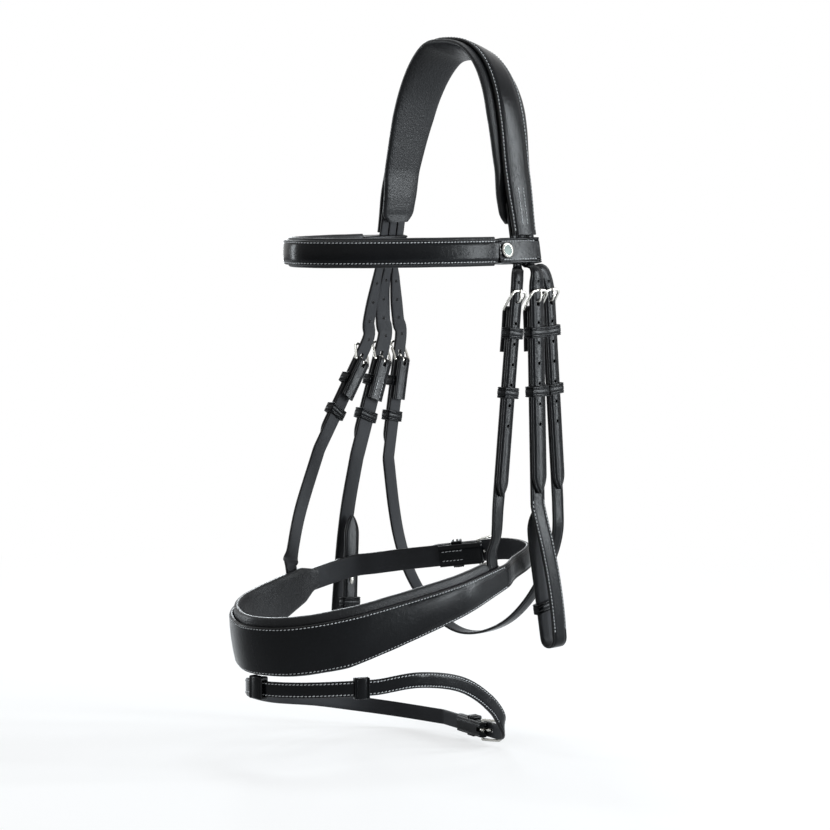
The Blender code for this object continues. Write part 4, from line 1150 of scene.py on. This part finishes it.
mesh = sweep(path, -BAND_NORMAL, nose_outline, shift=band_shift)
tail_line = line_between(jaw.point(-LEAD - 0.002), jaw.point(BAND_TAIL), 40)
cutters = (tongue_hole(jaw), bar_slot(jaw), holes_along(tail_line, -jaw.across, BAND_TAIL, (1, 2)))
dress("nose_strap", mesh, LEATHERS, "noseband", ["noseband_leather"], cutters=cutters)
buckle("noseband", jaw, NOSE_BACK, "noseband")

front = [i for i, point in enumerate(round_face) if point.y < -NARROW]
first = max(i for i in front if round_face[i].x > 0 and round_face[i].y > -2 * NARROW)
last = max(i for i in front if round_face[i].y < -NOSE_PAD_STOP)
padded = round_face[first:last + 1]
pad_run = lengths(padded)[-1]


def nose_pad_outline(run, point):
    left = min(run, pad_run - run)
    end = min(1, 0.55 + 0.45 * left / NOSE_BACK)
    puff = 1 + 0.012 * noise.noise(point * 55)
    height = band_height(run, point) + NOSE_ROLL + NOSE_HEM
    return pad_outline(height * end * puff, NOSE_PAD_THICK, roll=0.5)


mesh = sweep(padded, -BAND_NORMAL, nose_pad_outline, lift=-(BILLET / 2 + SEAM + NOSE_PAD_THICK / 2),
             shift=lambda run, point: band_shift(run, point) + (NOSE_HEM - NOSE_ROLL) / 2)
nose_pad = dress("nose_pad", mesh, (LINING,), "noseband", ["noseband_padding"])

rows = bmesh.new()
begin = lengths(round_face)[first]
finish_at = lengths(round_face)[last]
for edge in (NEAR, FAR):
    sew(rows, round_face, -BAND_NORMAL,
        lambda run, point: band_shift(run, point) + edge * (band_height(run, point) / 2 - CREASE),
        BILLET / 2 - 0.0001, begin - 0.002, finish_at + 0.002)
for inset in (-0.004, 0.004):
    sew(rows, path, -BAND_NORMAL, inset, STRAP / 2 + 0.0002, lengths(path)[-1] - 0.020)
dress("nose_stitches", rows, (THREAD,), "noseband")
print("noseband:", round(lengths(path)[-1], 3), "m, padding", round(pad_run, 3), "m")

# %% [markdown]
# ## Hangers and throatlatch
# The noseband's two hangers fold round their buckles as the cheekpieces do and disappear behind the
# noseband's leather. The throatlatch is one strap with a buckle at each end, hanging in a deep curve
# behind the jaw.

# %% Hangers and throatlatch
HANGER_PLANS = {NEAR: (TAIL, ((0.826, -0.185, 0.780),), -0.165),
                FAR: (SHORT_TAIL, ((-0.840, -0.490, 0.756), (-0.765, -0.572, 0.824)), -0.595)}


def band_station(side, back):
    """A place on the noseband at a given reach on one side, facing outwards, with x running down."""
    for a, b in zip(round_face, round_face[1:]):
        if a.x * side > 0 and (a.y - back) * (b.y - back) <= 0 and a.y != b.y:
            return Station(a.lerp(b, (back - a.y) / (b.y - a.y)), -BAND_NORMAL, (b - a).cross(-BAND_NORMAL))


for side, (tail, lower, reach) in HANGER_PLANS.items():
    word = side_name(side) + "_hanger"
    station = STATIONS["hanger", side]
    seat = band_station(side, reach * REACH)
    inside = -(BILLET / 2 + SEAM + STRAP / 2)
    top = -NOSE_BACK / 2
    ends = [seat.point(top - NOSE_ROLL - 2 * STRAP, inside), seat.point(top + HANGER_SEAT, inside)]
    fold = folded_end(station, tail + PAST_TIP)
    points = fold[:1] + [place(share) for share in lower] + ends
    path = even(list(reversed(fold)) + curve(points, straight=(len(lower) + 1,))[1:], step=0.002, soften=1)
    mesh = sweep(path, guide(BACKWARDS * side, station, seat),
                 lambda run, point: strap_outline(NARROW, STRAP))
    dress(word + "_piece", mesh, LEATHERS, "noseband", [word + "_strap"], cutters=[bar_slot(station)])
    print(word, "piece:", round(lengths(path)[-1], 3), "m")

THROAT = ((0.785, 0.205, 0.790), (0.690, 0.200, 0.846), (0.490, 0.195, 0.906), (0.250, 0.180, 0.950),
          (-0.050, 0.160, 0.973), (-0.330, 0.150, 0.968), (-0.620, 0.145, 0.930), (-0.800, 0.135, 0.885),
          (-0.885, 0.115, 0.830), (-0.900, 0.085, 0.770))
near, far = STATIONS["throat", NEAR], STATIONS["throat", FAR]
near_fold, far_fold = folded_end(near, TAIL + PAST_TIP), folded_end(far, SHORT_TAIL + PAST_TIP)
below = curve(near_fold[:1] + [place(share) for share in THROAT] + far_fold[:1])
path = even(list(reversed(near_fold)) + below[1:] + far_fold[1:], step=0.002, soften=1)
mesh = sweep(path, guide(BACKWARDS, near, far), lambda run, point: strap_outline(NARROW, STRAP))
dress("throat_piece", mesh, LEATHERS, "throatlatch", ["throat_strap"],
      cutters=(bar_slot(near), bar_slot(far)))
print("throatlatch:", round(lengths(path)[-1], 3), "m")

# %% [markdown]
# ## The flash strap
# A thin strap hangs from a leather loop under the noseband and closes below the bit. It has its own small
# buckle and one loose runner on its near side, and it is sewn along both edges.

# %% Flash strap
FLASH, FLASH_THICK, FLASH_LOOP, FLASH_LOOP_WALL, FLASH_SWING_PLAY, FLASH_RUNNER = (
    0.0125, 0.0022, 0.014, 0.0018, 0.0019, 0.0125)
NEAR_RUN = ((0.860, -0.205, 1.060), (0.885, -0.400, 1.010), (0.870, -0.640, 0.989))
RUNNER_RUN = ((0.750, -0.825, 0.994), (0.645, -0.930, 0.994))
FRONT_RUN = ((0.400, -1.055, 0.996),)
LOOP_RUN = ((0.130, -1.115, 0.998), (-0.050, -1.115, 0.998))
FAR_RUN = ((-0.230, -1.060, 1.005), (-0.440, -0.940, 1.024), (-0.640, -0.730, 1.049), (-0.740, -0.450, 1.072),
           (-0.700, -0.240, 1.091), (-0.450, -0.105, 1.102))
chin = Station(place((0.580, -0.100, 1.106)), Vector((-0.975, 0.22, 0)), Vector((0.22, 0.975, 0)))
loop = [place(share) for share in LOOP_RUN]
seat = loop[0].lerp(loop[1], 0.5)
start = [chin.point(BAND_TAIL), chin.point(BAND_TAIL - FLASH), chin.point(-LEAD)]
to_runner = start + [place(share) for share in NEAR_RUN]
to_loop = to_runner + [place(share) for share in RUNNER_RUN + FRONT_RUN]
points = to_loop + loop + [place(share) for share in FAR_RUN]
fold = folded_end(chin, BAND_TAIL + PAST_TIP)
round_face_flash = even(curve(points + fold[:1], straight=(0, 1, len(to_runner), len(to_loop))))
strap_from = lengths(round_face_flash)[-1]
path = round_face_flash + even(fold, step=0.0015, soften=0)[1:]


def flash_outline(run, point):
    near_bar = (point - chin.origin).length < BAND_TAIL + STRAP and run < strap_from - STRAP
    return strap_outline(FLASH * tip(run, FLASH), BILLET if near_bar else FLASH_THICK)


mesh = sweep(path, -UP, flash_outline)
tail_line = line_between(chin.point(-LEAD - 0.002), chin.point(BAND_TAIL), 40)
cutters = (tongue_hole(chin), bar_slot(chin), holes_along(tail_line, UP, BAND_TAIL, (1, 2)))
dress("flash_piece", mesh, LEATHERS, "flash", ["flash_strap"], cutters=cutters)
buckle("flash", chin, FLASH, "flash")
rows = bmesh.new()
tail_long = BAND_TAIL + LEAD
for edge in (NEAR, FAR):
    sew(rows, path, -UP, edge * (FLASH / 2 - CREASE), FLASH_THICK / 2 - 0.0001, tail_long + 0.02,
        strap_from - 0.05)
dress("flash_stitches", rows, (THREAD,), "flash")

ahead, behind = [place(share) for share in RUNNER_RUN]
along = behind - ahead
spot = Station(ahead.lerp(behind, 0.5), along, along.cross(-UP))
sleeve("flash_slider", spot, FLASH, FLASH_THICK, KEEPER_PLAY, FLASH_RUNNER, "flash_runner", "flash_runner")

face = Station(seat, loop[1] - loop[0], -BACKWARDS)
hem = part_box("flash_loop")[1].z
wall, half, deep = FLASH_LOOP_WALL, FLASH / 2, FLASH_THICK / 2 + SEAM
mesh = band_ring((-half - KEEPER_PLAY, -deep, half + SEAM, deep + FLASH_SWING_PLAY),
                 (seat.z - hem, -deep - wall, half + SEAM + wall, deep + FLASH_SWING_PLAY + wall), FLASH_LOOP,
                 face.matrix @ Matrix.Translation((-FLASH_LOOP / 2, 0, 0)))
dress("flash_hanging_loop", mesh, LEATHERS, "noseband", ["flash_loop"])
print("flash:", round(lengths(path)[-1], 3), "m")

# %% [markdown]
# ## Measuring
# The growth of the dressed bridle's box over its frame's box is printed, to show how closely it keeps the
# frame's size.

# %% Sizes
low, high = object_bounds()
print("pieces:", len(made_pieces), "box grows by",
      [round(max(cad_low[i] - low[i], high[i] - cad_high[i]) * 1000, 1) for i in range(3)], "mm")
